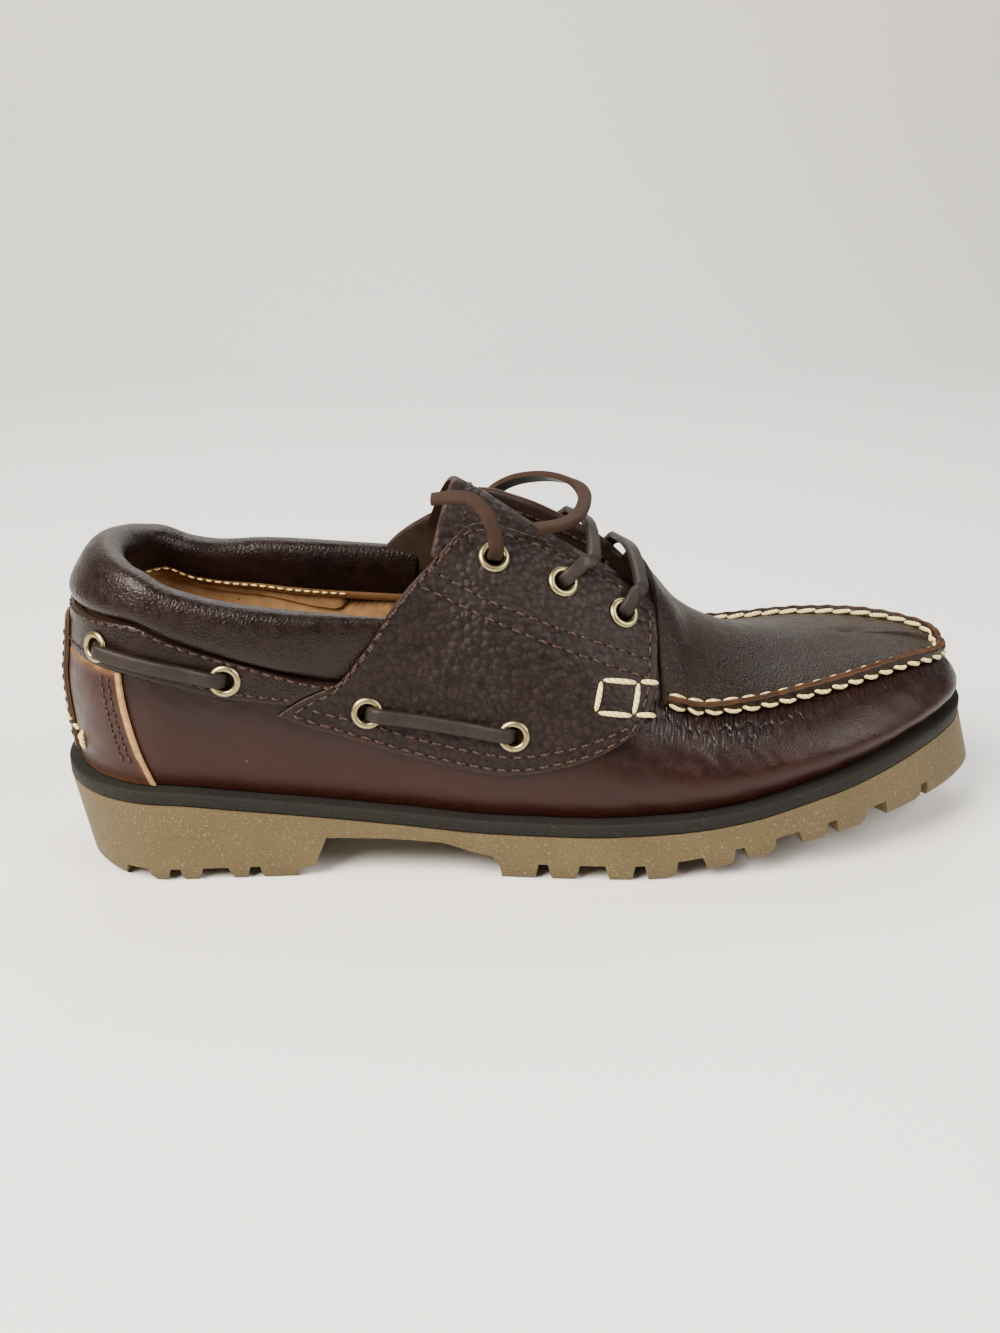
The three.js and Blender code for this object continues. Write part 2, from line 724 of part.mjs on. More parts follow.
// Heel strip: down the middle of the back, over band and counter
function heelStripGeometry() {
  const low = panelHigh + gap;
  const whole = layer(low, low + panelThickness, ({ row, along }) => {
    return row > 0 && row < edgeRow && along < 0.2;
  });
  const foot = midsoleTop(0) + 0.045 * instepHeight;
  const head = midsoleTop(0) + 0.54 * instepHeight;
  const narrow = 0.84 * stripWidth;
  const shape = new THREE.Shape();
  shape.moveTo(-stripWidth / 2, foot);
  shape.lineTo(stripWidth / 2, foot);
  shape.lineTo(narrow / 2, head);
  shape.lineTo(-narrow / 2, head);
  const form = new THREE.ExtrudeGeometry(shape, { depth: heelWidth, bevelEnabled: false });
  form.rotateX(Math.PI / 2);
  form.rotateZ(Math.PI / 2);
  form.translate(farBehind, 0, 0);
  return within(whole, form);
}

// Padded collar: sections along the rim, leaning in at the back and slanted where they meet the saddle
const collarTable = named(["along", "rise", "lean", "depth"], [
  [0, 1.08, 11, 1.25],
  [0.04, 1, 8, 1.2],
  [0.09, 0.86, 4, 1.05],
  [0.15, 0.86, 2, 1],
  [0.22, 0.95, 1.5, 0.95],
  [collarEnd, 1.02, 1.5, 0.85],
]);

function collarGeometry() {
  const rise = column(collarTable, "rise");
  const lean = column(collarTable, "lean");
  const depth = column(collarTable, "depth");
  const facets = 10;
  const first = stationCount - stepsBetween[0];
  const sections = [];
  for (let i = first; i <= first + 2 * stepsBetween[0]; i += 1) {
    const { along, side } = station(i);
    const id = skin.ids[i % stationCount][edgeRow];
    const outward = skin.normals[id].clone().setZ(0).normalize();
    const foot = skin.points[id].clone().addScaledVector(outward, -wall / 2 - collarSetIn);
    foot.z += 2 * gap;
    const shortened = along > collarEnd - 1e-6 ? -2 : 0;
    const shear = collarSlant * smooth((along - 0.2) / (collarEnd - 0.2));
    const fuller = side === medial ? 1.5 * smooth((along - 0.15) / 0.1) : 0;
    const height = collarRise * rise(along) + fuller;
    const top = foot.clone().addScaledVector(outward, -lean(along));
    top.z += height;
    const half = top.clone().sub(foot).multiplyScalar(0.5);
    const middle = foot.clone().add(half);
    const width = new THREE.Vector3(outward.x * half.z, outward.y * half.z, -half.dot(outward));
    width.setLength((collarDepth * depth(along)) / 2);
    sections.push(
      Array.from({ length: facets }, (unused, k) => {
        const angle = (2 * Math.PI * (k + 0.5)) / facets;
        const bend = (value) => Math.sign(value) * Math.pow(Math.abs(value), 0.8);
        const point = middle.clone();
        point.addScaledVector(half, -bend(Math.cos(angle)));
        point.addScaledVector(width, bend(Math.sin(angle)));
        point.x += shortened + shear * (point.z - foot.z);
        return point;
      }),
    );
  }
  return loft(sections);
}

// A closed loft through sections with the same number of points
function loft(sections) {
  const sides = sections[0].length;
  const faces = [];
  for (let i = 0; i < sections.length - 1; i += 1) {
    for (let k = 0; k < sides; k += 1) {
      const next = (k + 1) % sides;
      faces.push([i * sides + k, i * sides + next, (i + 1) * sides + next, (i + 1) * sides + k]);
    }
  }
  const last = (sections.length - 1) * sides;
  faces.push(Array.from({ length: sides }, (unused, k) => sides - 1 - k));
  faces.push(Array.from({ length: sides }, (unused, k) => last + k));
  return outwardFacing(solidFrom(sections.flat(), faces));
}

// Turns the faces round if they face into the solid
function outwardFacing(geometry) {
  const at = geometry.attributes.position;
  const corner = (i) => new THREE.Vector3().fromBufferAttribute(at, geometry.index.getX(i));
  let volume = 0;
  for (let i = 0; i < geometry.index.count; i += 3) {
    volume += corner(i).dot(corner(i + 1).cross(corner(i + 2)));
  }
  if (volume < 0) geometry.setIndex(Array.from(geometry.index.array).reverse());
  return geometry;
}

// Tongue: an arched sheet from under the throat to its free end over the instep.
// up and arch are shares of the instep height, half is a share of the ball width.
const tongueTable = named(["along", "up", "free", "half", "arch"], [
  [0.712, 0.425, 0, 0.189, 0.105],
  [0.668, 0.52, 0, 0.207, 0.151],
  [0.645, 0.605, 0, 0.207, 0.186],
  [0.62, 0.7, 0, 0.207, 0.209],
  [0.58, 0.79, 0, 0.207, 0.221],
  [0.52, 0.9, 0, 0.198, 0.232],
  [0.46, 1.005, 0, 0.184, 0.232],
  [0.436, 1.06, 0, 0.132, 0.163],
  [0.418, 1.06, 1, 0.174, 0.047],
]);

function tongueGeometry() {
  const across = 10;
  const middle = tongueTable.map(({ along, up, free }) => {
    const z = midsoleTop(along) + gap + instepHeight * up + tongueFree * free;
    return new THREE.Vector3(alongX(along), middleY(along) + ridgeShift(along), z);
  });
  const ribs = tongueTable.map(({ half, arch }, i) => {
    const before = middle[Math.max(0, i - 1)];
    const after = middle[Math.min(middle.length - 1, i + 1)];
    const run = after.clone().sub(before).normalize();
    const out = new THREE.Vector3(run.z, 0, -run.x);
    const edgeOf = (height) =>
      Array.from({ length: across + 1 }, (unused, k) => {
        const share = (2 * k) / across - 1;
        const point = middle[i].clone();
        point.y += share * half * ballWidth;
        point.z -= arch * instepHeight * Math.pow(Math.abs(share), 2.6);
        return point.addScaledVector(out, height);
      });
    return [...edgeOf(0), ...edgeOf(-tongueThickness).reverse()];
  });
  return loft(ribs);
}

// A flat lace through places that each have a point and a direction facing up from the leather
function laceStrip(places) {
  const w = laceWidth / 2;
  const t = laceThickness / 2;
  const underside = [[-w, -t * 0.4], [-w * 0.8, -t], [w * 0.8, -t], [w, -t * 0.4]];
  const outline = [...underside, ...underside.map(([a, b]) => [-a, -b])];
  const sections = places.map(({ point, normal }, i) => {
    const before = places[Math.max(0, i - 1)].point;
    const after = places[Math.min(places.length - 1, i + 1)].point;
    const run = after.clone().sub(before).normalize();
    const across = normal.clone().cross(run).normalize();
    const up = run.clone().cross(across).normalize();
    return outline.map(([a, b]) => point.clone().addScaledVector(across, a).addScaledVector(up, b));
  });
  return loft(sections);
}

const laceHeight = panelHigh + 4 * gap + flangeThickness + laceThickness / 2;

// The row at which the last's side reaches a height
function rowAtHeight(along, side, z) {
  let low = 0;
  let high = rows[edgeRow];
  for (let step = 0; step < 24; step += 1) {
    const middle = (low + high) / 2;
    if (onLast(along, side, middle).z < z) low = middle;
    else high = middle;
  }
  return (low + high) / 2;
}

// Side lace between two eyelets, flat over the leather
function sideLace(from, to, side) {
  const steps = 5;
  const startUp = onLast(from.along, side, from.up).z;
  const endUp = onLast(to.along, side, to.up).z;
  return laceStrip(
    Array.from({ length: steps + 1 }, (unused, i) => {
      const along = THREE.MathUtils.lerp(from.along, to.along, i / steps);
      const z = THREE.MathUtils.lerp(startUp, endUp, i / steps);
      return footing(along, side, rowAtHeight(along, side, z), laceHeight);
    }),
  );
}

// Lace bar over the tongue between a pair of facing eyelets, bowed towards the toe
function laceBar({ along, up, bow }) {
  const overTongue = 4.5;
  const centreUp = (share) => {
    const left = footing(share, lateral, 2.97, laceHeight + 1).point;
    const right = footing(share, medial, 2.97, laceHeight + 1).point;
    const point = left.clone().add(right).multiplyScalar(0.5);
    point.z += overTongue;
    return { point, normal: new THREE.Vector3(0.45, 0, 1).normalize() };
  };
  const half = (side) => [
    footing(along, side, up, laceHeight),
    footing(along + bow * 0.5, side, 2.86, laceHeight + 0.3),
    footing(along + bow * 0.8, side, 2.97, laceHeight + 1),
  ];
  return laceStrip([...half(lateral), centreUp(along + bow), ...half(medial).reverse()]);
}

// Free lace ends, chosen by hand: places from the face of the top eyelet of each side
const lateralEnd = [
  [-0.1, 0.8, -0.6],
  [0.3, -2.5, 1.9],
  [0, -3.9, 5.7],
  [-1, -3.5, 10.2],
  [-3.2, -1.6, 14.5],
  [-7.3, 1.3, 17.5],
  [-12.8, 3.3, 17.7],
  [-18.8, 4.5, 17],
];
const medialEnd = [
  [0, -1, -0.3],
  [0.7, 2.7, 1.5],
  [4, 5.7, 5],
  [11.5, 5.7, 8.8],
  [21.5, 2.7, 10.5],
  [29.7, -5.3, 10.3],
  [32.3, -16.3, 8.5],
  [29, -29.3, 6.1],
  [22.5, -39.3, 5.3],
  [12.5, -46.8, 5.9],
];

function laceEnd(route, side, steps) {
  const seat = eyeletSeat(facingEyelets[0], side);
  const exit = seat.point.addScaledVector(seat.normal, flangeThickness);
  const radius = laceWidth / 2;
  const turn = (index) => (2 * Math.PI * index) / roundSides;
  const round = new THREE.Shape(
    Array.from({ length: roundSides }, (unused, i) => {
      return new THREE.Vector2(radius * Math.cos(turn(i)), radius * Math.sin(turn(i)));
    }),
  );
  const places = route.map((place) => new THREE.Vector3(...place).add(exit));
  const extrudePath = new THREE.CatmullRomCurve3(places);
  return new THREE.ExtrudeGeometry(round, { extrudePath, steps, bevelEnabled: false });
}

// Materials
const leather = (color, roughness) => new THREE.MeshStandardMaterial({ color, roughness, metalness: 0 });
const finishes = {
  gum: () => leather(0x927a58, 0.85),
  rand: () => leather(0x2a2826, 0.8),
  footbed: () => leather(0x8a5a34, 0.7),
  tub: () => leather(0x40221e, 0.4),
  plug: () => leather(0x3e302a, 0.55),
  pebbled: () => leather(0x3c2c28, 0.6),
  collar: () => leather(0x33211d, 0.4),
  lace: () => leather(0x463832, 0.7),
  brass: () => new THREE.MeshStandardMaterial({ color: 0x8f8468, roughness: 0.35, metalness: 1 }),
};

const shoe = new THREE.Group();

function add(name, geometry, finish) {
  const mesh = new THREE.Mesh(geometry, finishes[finish]());
  mesh.name = name;
  shoe.add(mesh);
}

add("outsole", outsoleGeometry(), "gum");
add("midsole", midsoleGeometry(), "rand");
add("insole", insoleGeometry(), "footbed");
add("upper", upperGeometry(), "tub");
add("plug", plugGeometry(), "plug");
add("saddle_lateral", saddleGeometry(lateral), "pebbled");
add("saddle_medial", saddleGeometry(medial), "pebbled");
add("band", bandGeometry(), "collar");
add("counter", counterGeometry(), "tub");
add("heel_strip", heelStripGeometry(), "collar");
add("collar", collarGeometry(), "collar");
add("tongue", tongueGeometry(), "pebbled");

[[lateral, "lateral"], [medial, "medial"]].forEach(([side, word]) => {
  facingEyelets.forEach((eyelet, i) => {
    add(`eyelet_${word}_${i + 1}`, eyeletGeometry(eyeletSeat(eyelet, side)), "brass");
  });
  sideEyelets.forEach((eyelet, i) => {
    add(`side_eyelet_${word}_${i + 1}`, eyeletGeometry(eyeletSeat(eyelet, side)), "brass");
  });
  add(`side_lace_${word}_rear`, sideLace(sideEyelets[0], sideEyelets[1], side), "lace");
  add(`side_lace_${word}_front`, sideLace(sideEyelets[2], sideEyelets[3], side), "lace");
});
add("lace_bar_middle", laceBar(facingEyelets[1]), "lace");
add("lace_bar_front", laceBar(facingEyelets[2]), "lace");
add("lace_end_lateral", laceEnd(lateralEnd, lateral, 5), "lace");
add("lace_end_medial", laceEnd(medialEnd, medial, 11), "lace");

export default shoe;
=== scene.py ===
# %% [markdown]
# # A boat shoe in oiled leather on a gum rubber sole
# This lesson dresses a plain solid model of a shoe in leather, thread, brass and rubber.
# The solid model comes first, as a frame that stays where it is.
# Its box is kept.

# %% Load the frame
import math
import bmesh
import bpy
import numpy as np
from mathutils import Matrix, Vector


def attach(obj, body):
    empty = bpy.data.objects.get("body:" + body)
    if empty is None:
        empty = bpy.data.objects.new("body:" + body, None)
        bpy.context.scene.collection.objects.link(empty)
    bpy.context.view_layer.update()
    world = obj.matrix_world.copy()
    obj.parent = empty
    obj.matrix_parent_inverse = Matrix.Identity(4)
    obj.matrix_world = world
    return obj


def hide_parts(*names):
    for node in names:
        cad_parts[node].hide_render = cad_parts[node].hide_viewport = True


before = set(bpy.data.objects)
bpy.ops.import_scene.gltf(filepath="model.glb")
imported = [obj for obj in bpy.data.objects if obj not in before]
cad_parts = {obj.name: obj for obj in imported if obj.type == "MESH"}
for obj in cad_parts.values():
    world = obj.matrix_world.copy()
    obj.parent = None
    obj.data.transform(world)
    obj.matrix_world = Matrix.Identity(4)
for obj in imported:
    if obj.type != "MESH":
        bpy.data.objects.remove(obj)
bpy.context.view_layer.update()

print("nodes in the frame:", len(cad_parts))

# %% [markdown]
# ## Sizes of the shoe
# A shoemaker works from a last, and everything else is a distance over or under its skin.
# These are the sizes of the last and of the leather, in millimetres, as the solid model has them.
# They could be read off its meshes too, but written down they can be changed and understood.
# Shares along the shoe run from 0 at the back of the heel to 1 at the toe.

# %% Sizes
MM = 0.001
last_length, toe_jut, heel_taper, toe_swing = 300, 5, 6.5, 7
ball_width, heel_width, instep_height = 106, 75, 86
forefoot_thickness, heel_lift, toe_spring, toe_rocker = 15.4, 12.9, 20.6, 16.5
midsole_thickness, insole_thickness, feather_inset = 4.3, 4, 5
wall, panel_thickness, gap, plug_thickness, lip_height = 2.2, 1.3, 0.3, 1.6, 4.4
throat_start, medial_rise, collar_end = 0.62, 3.5, 0.29
collar_rise, collar_depth, collar_set_in, collar_slant = 18.6, 11.5, 1.2, 0.95
tongue_thickness, tongue_free, strip_width = 2.2, 10, 26
eyelet_hole, eyelet_wall, flange_thickness = 2.9, 0.5, 0.8
lace_width, lace_thickness = 4.5, 2.2
lug_depth, heel_lug_depth, lug_reach = 5.6, 4.4, 24
wide_notch, narrow_notch, notch_draft, slot_depth, slot_width = 11, 5.4, 3.2, 3.2, 26.4
tread_bevel = 2.2
heel_back = -last_length / 2 - toe_jut / 2
panel_low, panel_high = gap, gap + panel_thickness
lace_height = panel_high + 4 * gap + flange_thickness + lace_thickness / 2
LATERAL, MEDIAL = -1, 1


def table(names, rows):
    """A short table with named columns."""
    return {name: np.array(column, float) for name, column in zip(names, zip(*rows))}


outline = table(["along", "outer", "inner"], [
    [0, 0.5, 0.473], [0.06, 0.507, 0.48], [0.14, 0.511, 0.487], [0.25, 0.52, 0.473],
    [0.35, 0.531, 0.459], [0.45, 0.528, 0.448], [0.55, 0.524, 0.451], [0.64, 0.52, 0.465],
    [0.72, 0.52, 0.48], [0.8, 0.499, 0.47], [0.88, 0.447, 0.433], [0.94, 0.405, 0.395],
    [1, 0.367, 0.357],
])
profile = table(["along", "lift", "spring", "rocker"], [
    [0, 1, 0, 0], [0.11, 0.9, 0, 0], [0.19, 0.68, 0, 0], [0.27, 0.45, 0, 0],
    [0.35, 0.225, 0, 0], [0.45, 0.02, 0, 0], [0.55, 0, 0, 0], [0.6, 0, 0.03, 0],
    [0.66, 0, 0.09, 0.12], [0.716, 0, 0.2, 0.32], [0.76, 0, 0.34, 0.48],
    [0.8, 0, 0.475, 0.62], [0.873, 0, 0.7, 0.78], [0.93, 0, 0.865, 0.9], [1, 0, 1, 1],
])
sections = table(
    ["along", "bulge_up", "bulge_out", "shoulder_up", "shoulder_out", "edge_up", "edge_out", "spine_up",
     "crease"],
    [
        [0, 0.29, 0.9, 0.435, 0.875, 0.594, 0.83, 0, 0],
        [0.08, 0.28, 0.92, 0.42, 0.9, 0.598, 0.85, 0, 0],
        [0.13, 0.27, 0.935, 0.39, 0.925, 0.545, 0.885, 0, 0],
        [0.2, 0.26, 0.95, 0.365, 0.945, 0.5, 0.92, 0, 0],
        [0.29, 0.25, 0.96, 0.37, 0.945, 0.452, 0.935, 0, 0],
        [0.325, 0.25, 0.965, 0.41, 0.93, 0.585, 0.91, 0, 0],
        [0.36, 0.25, 0.965, 0.51, 0.88, 0.765, 0.8, 0, 0],
        [0.4, 0.235, 0.965, 0.62, 0.81, 0.905, 0.61, 0, 0],
        [0.445, 0.225, 0.965, 0.68, 0.76, 1.015, 0.43, 0, 0],
        [0.5, 0.21, 0.965, 0.62, 0.755, 0.965, 0.395, 0, 0],
        [0.56, 0.19, 0.965, 0.53, 0.75, 0.86, 0.385, 0, 0],
        [0.62, 0.165, 0.965, 0.4, 0.74, 0.71, 0.4, 0.79, 0.35],
        [0.645, 0.155, 0.965, 0.365, 0.73, 0.63, 0.4, 0.675, 0.7],
        [0.67, 0.15, 0.965, 0.33, 0.72, 0.52, 0.38, 0.58, 1],
        [0.72, 0.14, 0.965, 0.3, 0.705, 0.41, 0.37, 0.47, 1],
        [0.76, 0.13, 0.965, 0.277, 0.69, 0.352, 0.36, 0.405, 1],
        [0.85, 0.105, 0.955, 0.24, 0.655, 0.285, 0.34, 0.315, 1],
        [0.93, 0.08, 0.95, 0.2, 0.62, 0.227, 0.32, 0.25, 1],
        [1, 0.06, 0.95, 0.152, 0.6, 0.19, 0.3, 0.202, 1],
    ],
)
print("sizes for a sole of", last_length + toe_jut, "mm")

# %% [markdown]
# ## The skin of the last
# Each section of the last runs through five guide lines, from the feather line at the sole
# to the ridge on top, joined by smooth curves. A place on the skin is an angle round the shoe
# and a row: 0 the feather line, 1 the fullest line of the side, 2 the moccasin seam or the foot of
# the band, 3 the collar seam or the facing, and 4 the ridge. Arrays keep this quick.


# %% Curves through tables
def smooth(value):
    t = np.clip(value, 0, 1)
    return t * t * (3 - 2 * t)


def curve_through(xs, ys):
    """A curve through points that never overshoots them."""
    steps = np.diff(xs)
    slopes = np.diff(ys) / steps
    tangents = np.zeros(len(xs))
    tangents[0], tangents[-1] = slopes[0], slopes[-1]
    for i in range(1, len(steps)):
        if slopes[i - 1] * slopes[i] > 0:
            before = 2 * steps[i] + steps[i - 1]
            after = steps[i] + 2 * steps[i - 1]
            tangents[i] = (before + after) / (before / slopes[i - 1] + after / slopes[i])

    def at(value):
        x = np.clip(value, xs[0], xs[-1])
        i = np.clip(np.searchsorted(xs, x, side="right") - 1, 0, len(steps) - 1)
        t = (x - xs[i]) / steps[i]
        leave = t * (1 - t) ** 2 * steps[i] * tangents[i]
        arrive = t * t * (1 - t) * steps[i] * tangents[i + 1]
        return ys[i] * (1 - smooth(t)) + ys[i + 1] * smooth(t) + leave - arrive

    return at


def columns(rows):
    return {name: curve_through(rows["along"], rows[name]) for name in rows if name != "along"}


outline_at, profile_at, section_at = columns(outline), columns(profile), columns(sections)


# %% Sole and guide lines
def along_x(along):
    return heel_back + last_length * along


def outsole_top(along):
    raised = heel_lift * profile_at["lift"](along) + toe_spring * profile_at["spring"](along)
    return forefoot_thickness + raised


def tread_up(along):
    return toe_rocker * profile_at["rocker"](along)


def midsole_top(along):
    return outsole_top(along) + gap + midsole_thickness


def middle_y(along):
    return toe_swing * (smooth((along - 0.45) / 0.55) - 0.17)


def half_width(along, side):
    local = heel_width + (ball_width - heel_width) * smooth((along - 0.3) / 0.4)
    return np.where(side < 0, outline_at["outer"](along), outline_at["inner"](along)) * local


def end_rounding(along):
    heel = np.clip((0.115 - along) / 0.115, 0, 1)
    toe = np.clip((along - 0.8) / 0.2, 0, 1)
    return np.sqrt(1 - heel**2) * (1 - toe**2.2) ** (1 / 2.2)


def hump(along, rise_from, rise_to, fade_from, fade_to):
    rise = smooth((along - rise_from) / (rise_to - rise_from))
    return rise * (1 - smooth((along - fade_from) / (fade_to - fade_from)))


def ridge_shift(along):
    return 3 * hump(along, 0.36, 0.44, 0.6, 0.7)


def guide_points(along, side):
    """The five guide lines at a share along the shoe: feather, bulge, shoulder, edge and spine."""
    at = {name: curve(along) for name, curve in section_at.items()}
    centre, ends, half = middle_y(along), end_rounding(along), half_width(along, side)
    base = midsole_top(along) + gap
    inner = np.where(side > 0, 1.0, 0.0)
    quarter_rise = inner * medial_rise * hump(along, 0.12, 0.24, 0.34, 0.44)
    facing_rise = inner * medial_rise * hump(along, 0.4, 0.48, 0.58, 0.65)
    seam_rise = inner * at["crease"]
    from_heel = np.maximum(0, 1 - along / 0.3) ** 2
    from_toe = np.maximum(0, 1 - (1 - along) / 0.35) ** 2

    # the moccasin seam turns more bluntly at the toe than the sole does
    blunt = np.where(along > 0.8, np.maximum(ends, 1e-6) ** -0.24, 1.0)

    def point(heel_in, toe_in, out, up, shift=0.0):
        x = along_x(along) + heel_in * from_heel - toe_in * from_toe
        return np.stack([x, centre + shift + side * half * out * ends, base + up], -1)

    feather = point(5.5, 4.5, 1.0, 0.0)
    feather[..., 1] -= side * feather_inset * ends
    shoulder_up = instep_height * at["shoulder_up"] + 0.7 * quarter_rise + 1.5 * seam_rise
    edge_up = instep_height * at["edge_up"] + quarter_rise + facing_rise + 0.7 * seam_rise
    return [
        feather,
        point(4.2, 1.2, at["bulge_out"], instep_height * at["bulge_up"]),
        point(5.6, 7.5, at["shoulder_out"] * blunt, shoulder_up),
        point(7.5, 22, at["edge_out"] * blunt, edge_up, ridge_shift(along)),
        point(5, 40, 0.0, instep_height * at["spine_up"], ridge_shift(along)),
    ]


def on_last(along, side, up):
    """A point of the last's skin, in millimetres."""
    along, side, up = (a.astype(float) for a in np.broadcast_arrays(along, side, up))
    feather, bulge, shoulder, edge, spine = guide_points(along, side)
    sharp = section_at["crease"](along)[..., None]

    def between(start, end, x, y, z):
        return (end - start) * np.array([x, y, z])

    around = between(bulge, edge, 0.5, 0.5, 0.5)
    leave_feather = between(feather, bulge, 1, 2.2, 0.9)
    pass_bulge = between(feather, shoulder, 0.5, 0.5, 0.5)
    reach_seam = around + (between(bulge, shoulder, 1, 1.5, 0.55) - around) * sharp
    leave_seam = around + (between(shoulder, edge, 1, 0.9, 1.35) - around) * sharp
    pass_edge = between(shoulder, edge, 1, 1.1, 0.8)
    pass_edge = pass_edge + (between(shoulder, spine, 0.5, 0.5, 0.5) - pass_edge) * sharp
    reach_spine = between(edge, spine, 1, 1.3, 0.15)
    stage = np.clip(np.floor(up), 0, 3)
    t = (up - stage)[..., None]
    rise = t * t * (3 - 2 * t)
    legs = [
        (feather, bulge, leave_feather, pass_bulge),
        (bulge, shoulder, pass_bulge, reach_seam),
        (shoulder, edge, leave_seam, pass_edge),
        (edge, spine, pass_edge, reach_spine),
    ]
    found = np.zeros(t.shape[:-1] + (3,))
    for number, (start, end, leave, arrive) in enumerate(legs):
        curve = start * (1 - rise) + end * rise + leave * t * (1 - t) ** 2 - arrive * t * t * (1 - t)
        found = np.where((stage == number)[..., None], curve, found)
    return found


# %% Places on the skin
def angle_at(along, side):
    """The angle round the shoe: from 0 at the heel by the outer side to half a turn at the toe."""
    turn = np.arccos(np.clip(1 - 2 * np.asarray(along, float), -1, 1))
    return np.where(np.asarray(side) > 0, 2 * np.pi - turn, turn)


def along_of(angle):
    """The share along the shoe at an angle."""
    return (1 - np.cos(angle)) / 2


def skin(angle, up):
    turned = np.mod(angle, 2 * np.pi)
    return on_last(along_of(turned), np.where(turned <= np.pi, -1.0, 1.0), up)


def unit(vectors):
    return vectors / np.maximum(np.linalg.norm(vectors, axis=-1, keepdims=True), 1e-12)


def skin_normal(angle, up):
    forward = skin(angle + 0.012, up) - skin(angle - 0.012, up)
    upward = skin(angle, up + 0.03) - skin(angle, up - 0.03)
    return unit(np.cross(forward, upward))


def ridge_joined(normals, wrapped):
    """The same normals for both sides along the last row, the ridge."""
    twin = normals[-1][::-1]
    normals[-1] = unit(normals[-1] + (np.roll(twin, 1, axis=0) if wrapped else twin))
    return normals


def over_skin(angle, up, height):
    return skin(angle, up) + skin_normal(angle, up) * np.asarray(height)[..., None]


def place_at(x, z, side):
    """The angle and the row that show at x, z in the side view."""
    x, z = np.asarray(x, float), np.asarray(z, float)
    along = np.clip((x - heel_back) / last_length, 0.0005, 0.9995)
    for _ in range(6):
        low, high = np.zeros_like(x), np.full_like(x, 3.0)
        for _ in range(18):
            middle = (low + high) / 2
            below = on_last(along, side, middle)[..., 2] < z
            low, high = np.where(below, middle, low), np.where(below, high, middle)
        miss = x - on_last(along, side, (low + high) / 2)[..., 0]
        along = np.clip(along + miss / last_length, 0.0005, 0.9995)
    return angle_at(along, side), (low + high) / 2


def smooth_line(points, shares):
    """Points of a smooth line through places, at shares of its length."""
    p = np.asarray(points, float)
    ends = np.vstack([2 * p[0] - p[1], p, 2 * p[-1] - p[-2]])
    t = np.linspace(0, 1, 24, endpoint=False)[:, None]
    fine = []
    for a, b, c, d in zip(ends, ends[1:], ends[2:], ends[3:]):
        second = (2 * a - 5 * b + 4 * c - d) * t**2 / 2
        third = (3 * b - a - 3 * c + d) * t**3 / 2
        fine.append(b + (c - a) * t / 2 + second + third)
    fine = np.vstack([*fine, p[-1:]])
    run = np.r_[0, np.cumsum(np.linalg.norm(np.diff(fine, axis=0), axis=1))]
    at = np.asarray(shares) * run[-1]
    return np.stack([np.interp(at, run, column) for column in fine.T], -1)


print("top of the eyestay at", np.round(on_last(0.445, LATERAL, 3), 1), "mm")

# %% [markdown]
# ## The camera
# It stands a little above the shoe, level with the middle, and looks down on its outer side,
# as the photograph does. The numbers are its place and its turn; the lens gives the same view angle.

# %% Camera
camera_place = (-46.3, -446.1, 225.1)
camera_pitch, camera_yaw, camera_roll = (math.radians(a) for a in (20.9, -4.57, -0.31))
camera_data = bpy.data.cameras.new("camera")
camera_data.sensor_width, camera_data.lens = 36, 38.9
camera = bpy.data.objects.new("camera", camera_data)
bpy.context.scene.collection.objects.link(camera)
flat_right = Vector((math.cos(camera_yaw), math.sin(camera_yaw), 0))
level = Vector((-math.sin(camera_yaw), math.cos(camera_yaw), 0))
ahead = level * math.cos(camera_pitch) - Vector((0, 0, math.sin(camera_pitch)))
straight_up = flat_right.cross(ahead)
right = flat_right * math.cos(camera_roll) + straight_up * math.sin(camera_roll)
upright = straight_up * math.cos(camera_roll) - flat_right * math.sin(camera_roll)
turn = Matrix((right, upright, -ahead)).transposed().to_4x4()
camera.matrix_world = Matrix.Translation(Vector(camera_place) * MM) @ turn
bpy.context.scene.camera = camera
print("camera looks", "down by", round(math.degrees(camera_pitch), 1), "degrees")

# %% [markdown]
# ## Helpers that make meshes and materials
# Every piece is a net of points that was worked out with arrays. One function makes the mesh,
# one closes two nets into a slab, and one adds a node to a material with its settings and links.


# %% Mesh helpers
def piece(name, points, faces, materials, face_material=None, values=None, sharp=40):
    """A mesh object from points in millimetres; it rides on the shoe."""
    mesh = bpy.data.meshes.new(name)
    in_metres = np.asarray(points).reshape(-1, 3) * MM
    mesh.from_pydata(in_metres.tolist(), [], [list(map(int, f)) for f in faces])
    for material in materials:
        mesh.materials.append(material)
    if face_material is not None:
        mesh.polygons.foreach_set("material_index", np.asarray(face_material, np.int32))
    for attribute, numbers in (values or {}).items():
        layer = mesh.attributes.new(attribute, "FLOAT", "POINT")
        layer.data.foreach_set("value", np.asarray(numbers, np.float32).ravel())
    work = bmesh.new()
    work.from_mesh(mesh)
    bmesh.ops.remove_doubles(work, verts=work.verts, dist=0.00002)
    bmesh.ops.delete(work, geom=[v for v in work.verts if not v.link_faces], context="VERTS")
    bmesh.ops.recalc_face_normals(work, faces=work.faces)
    work.to_mesh(mesh)
    work.free()
    made = bpy.data.objects.new(name, mesh)
    bpy.context.scene.collection.objects.link(made)
    shade(made, sharp)
    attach(made, "root")
    return made


def shade(made, sharp=40):
    mesh = made.data
    mesh.polygons.foreach_set("use_smooth", np.ones(len(mesh.polygons), bool))
    mesh.set_sharp_from_angle(angle=math.radians(sharp))


print("mesh helper ready")


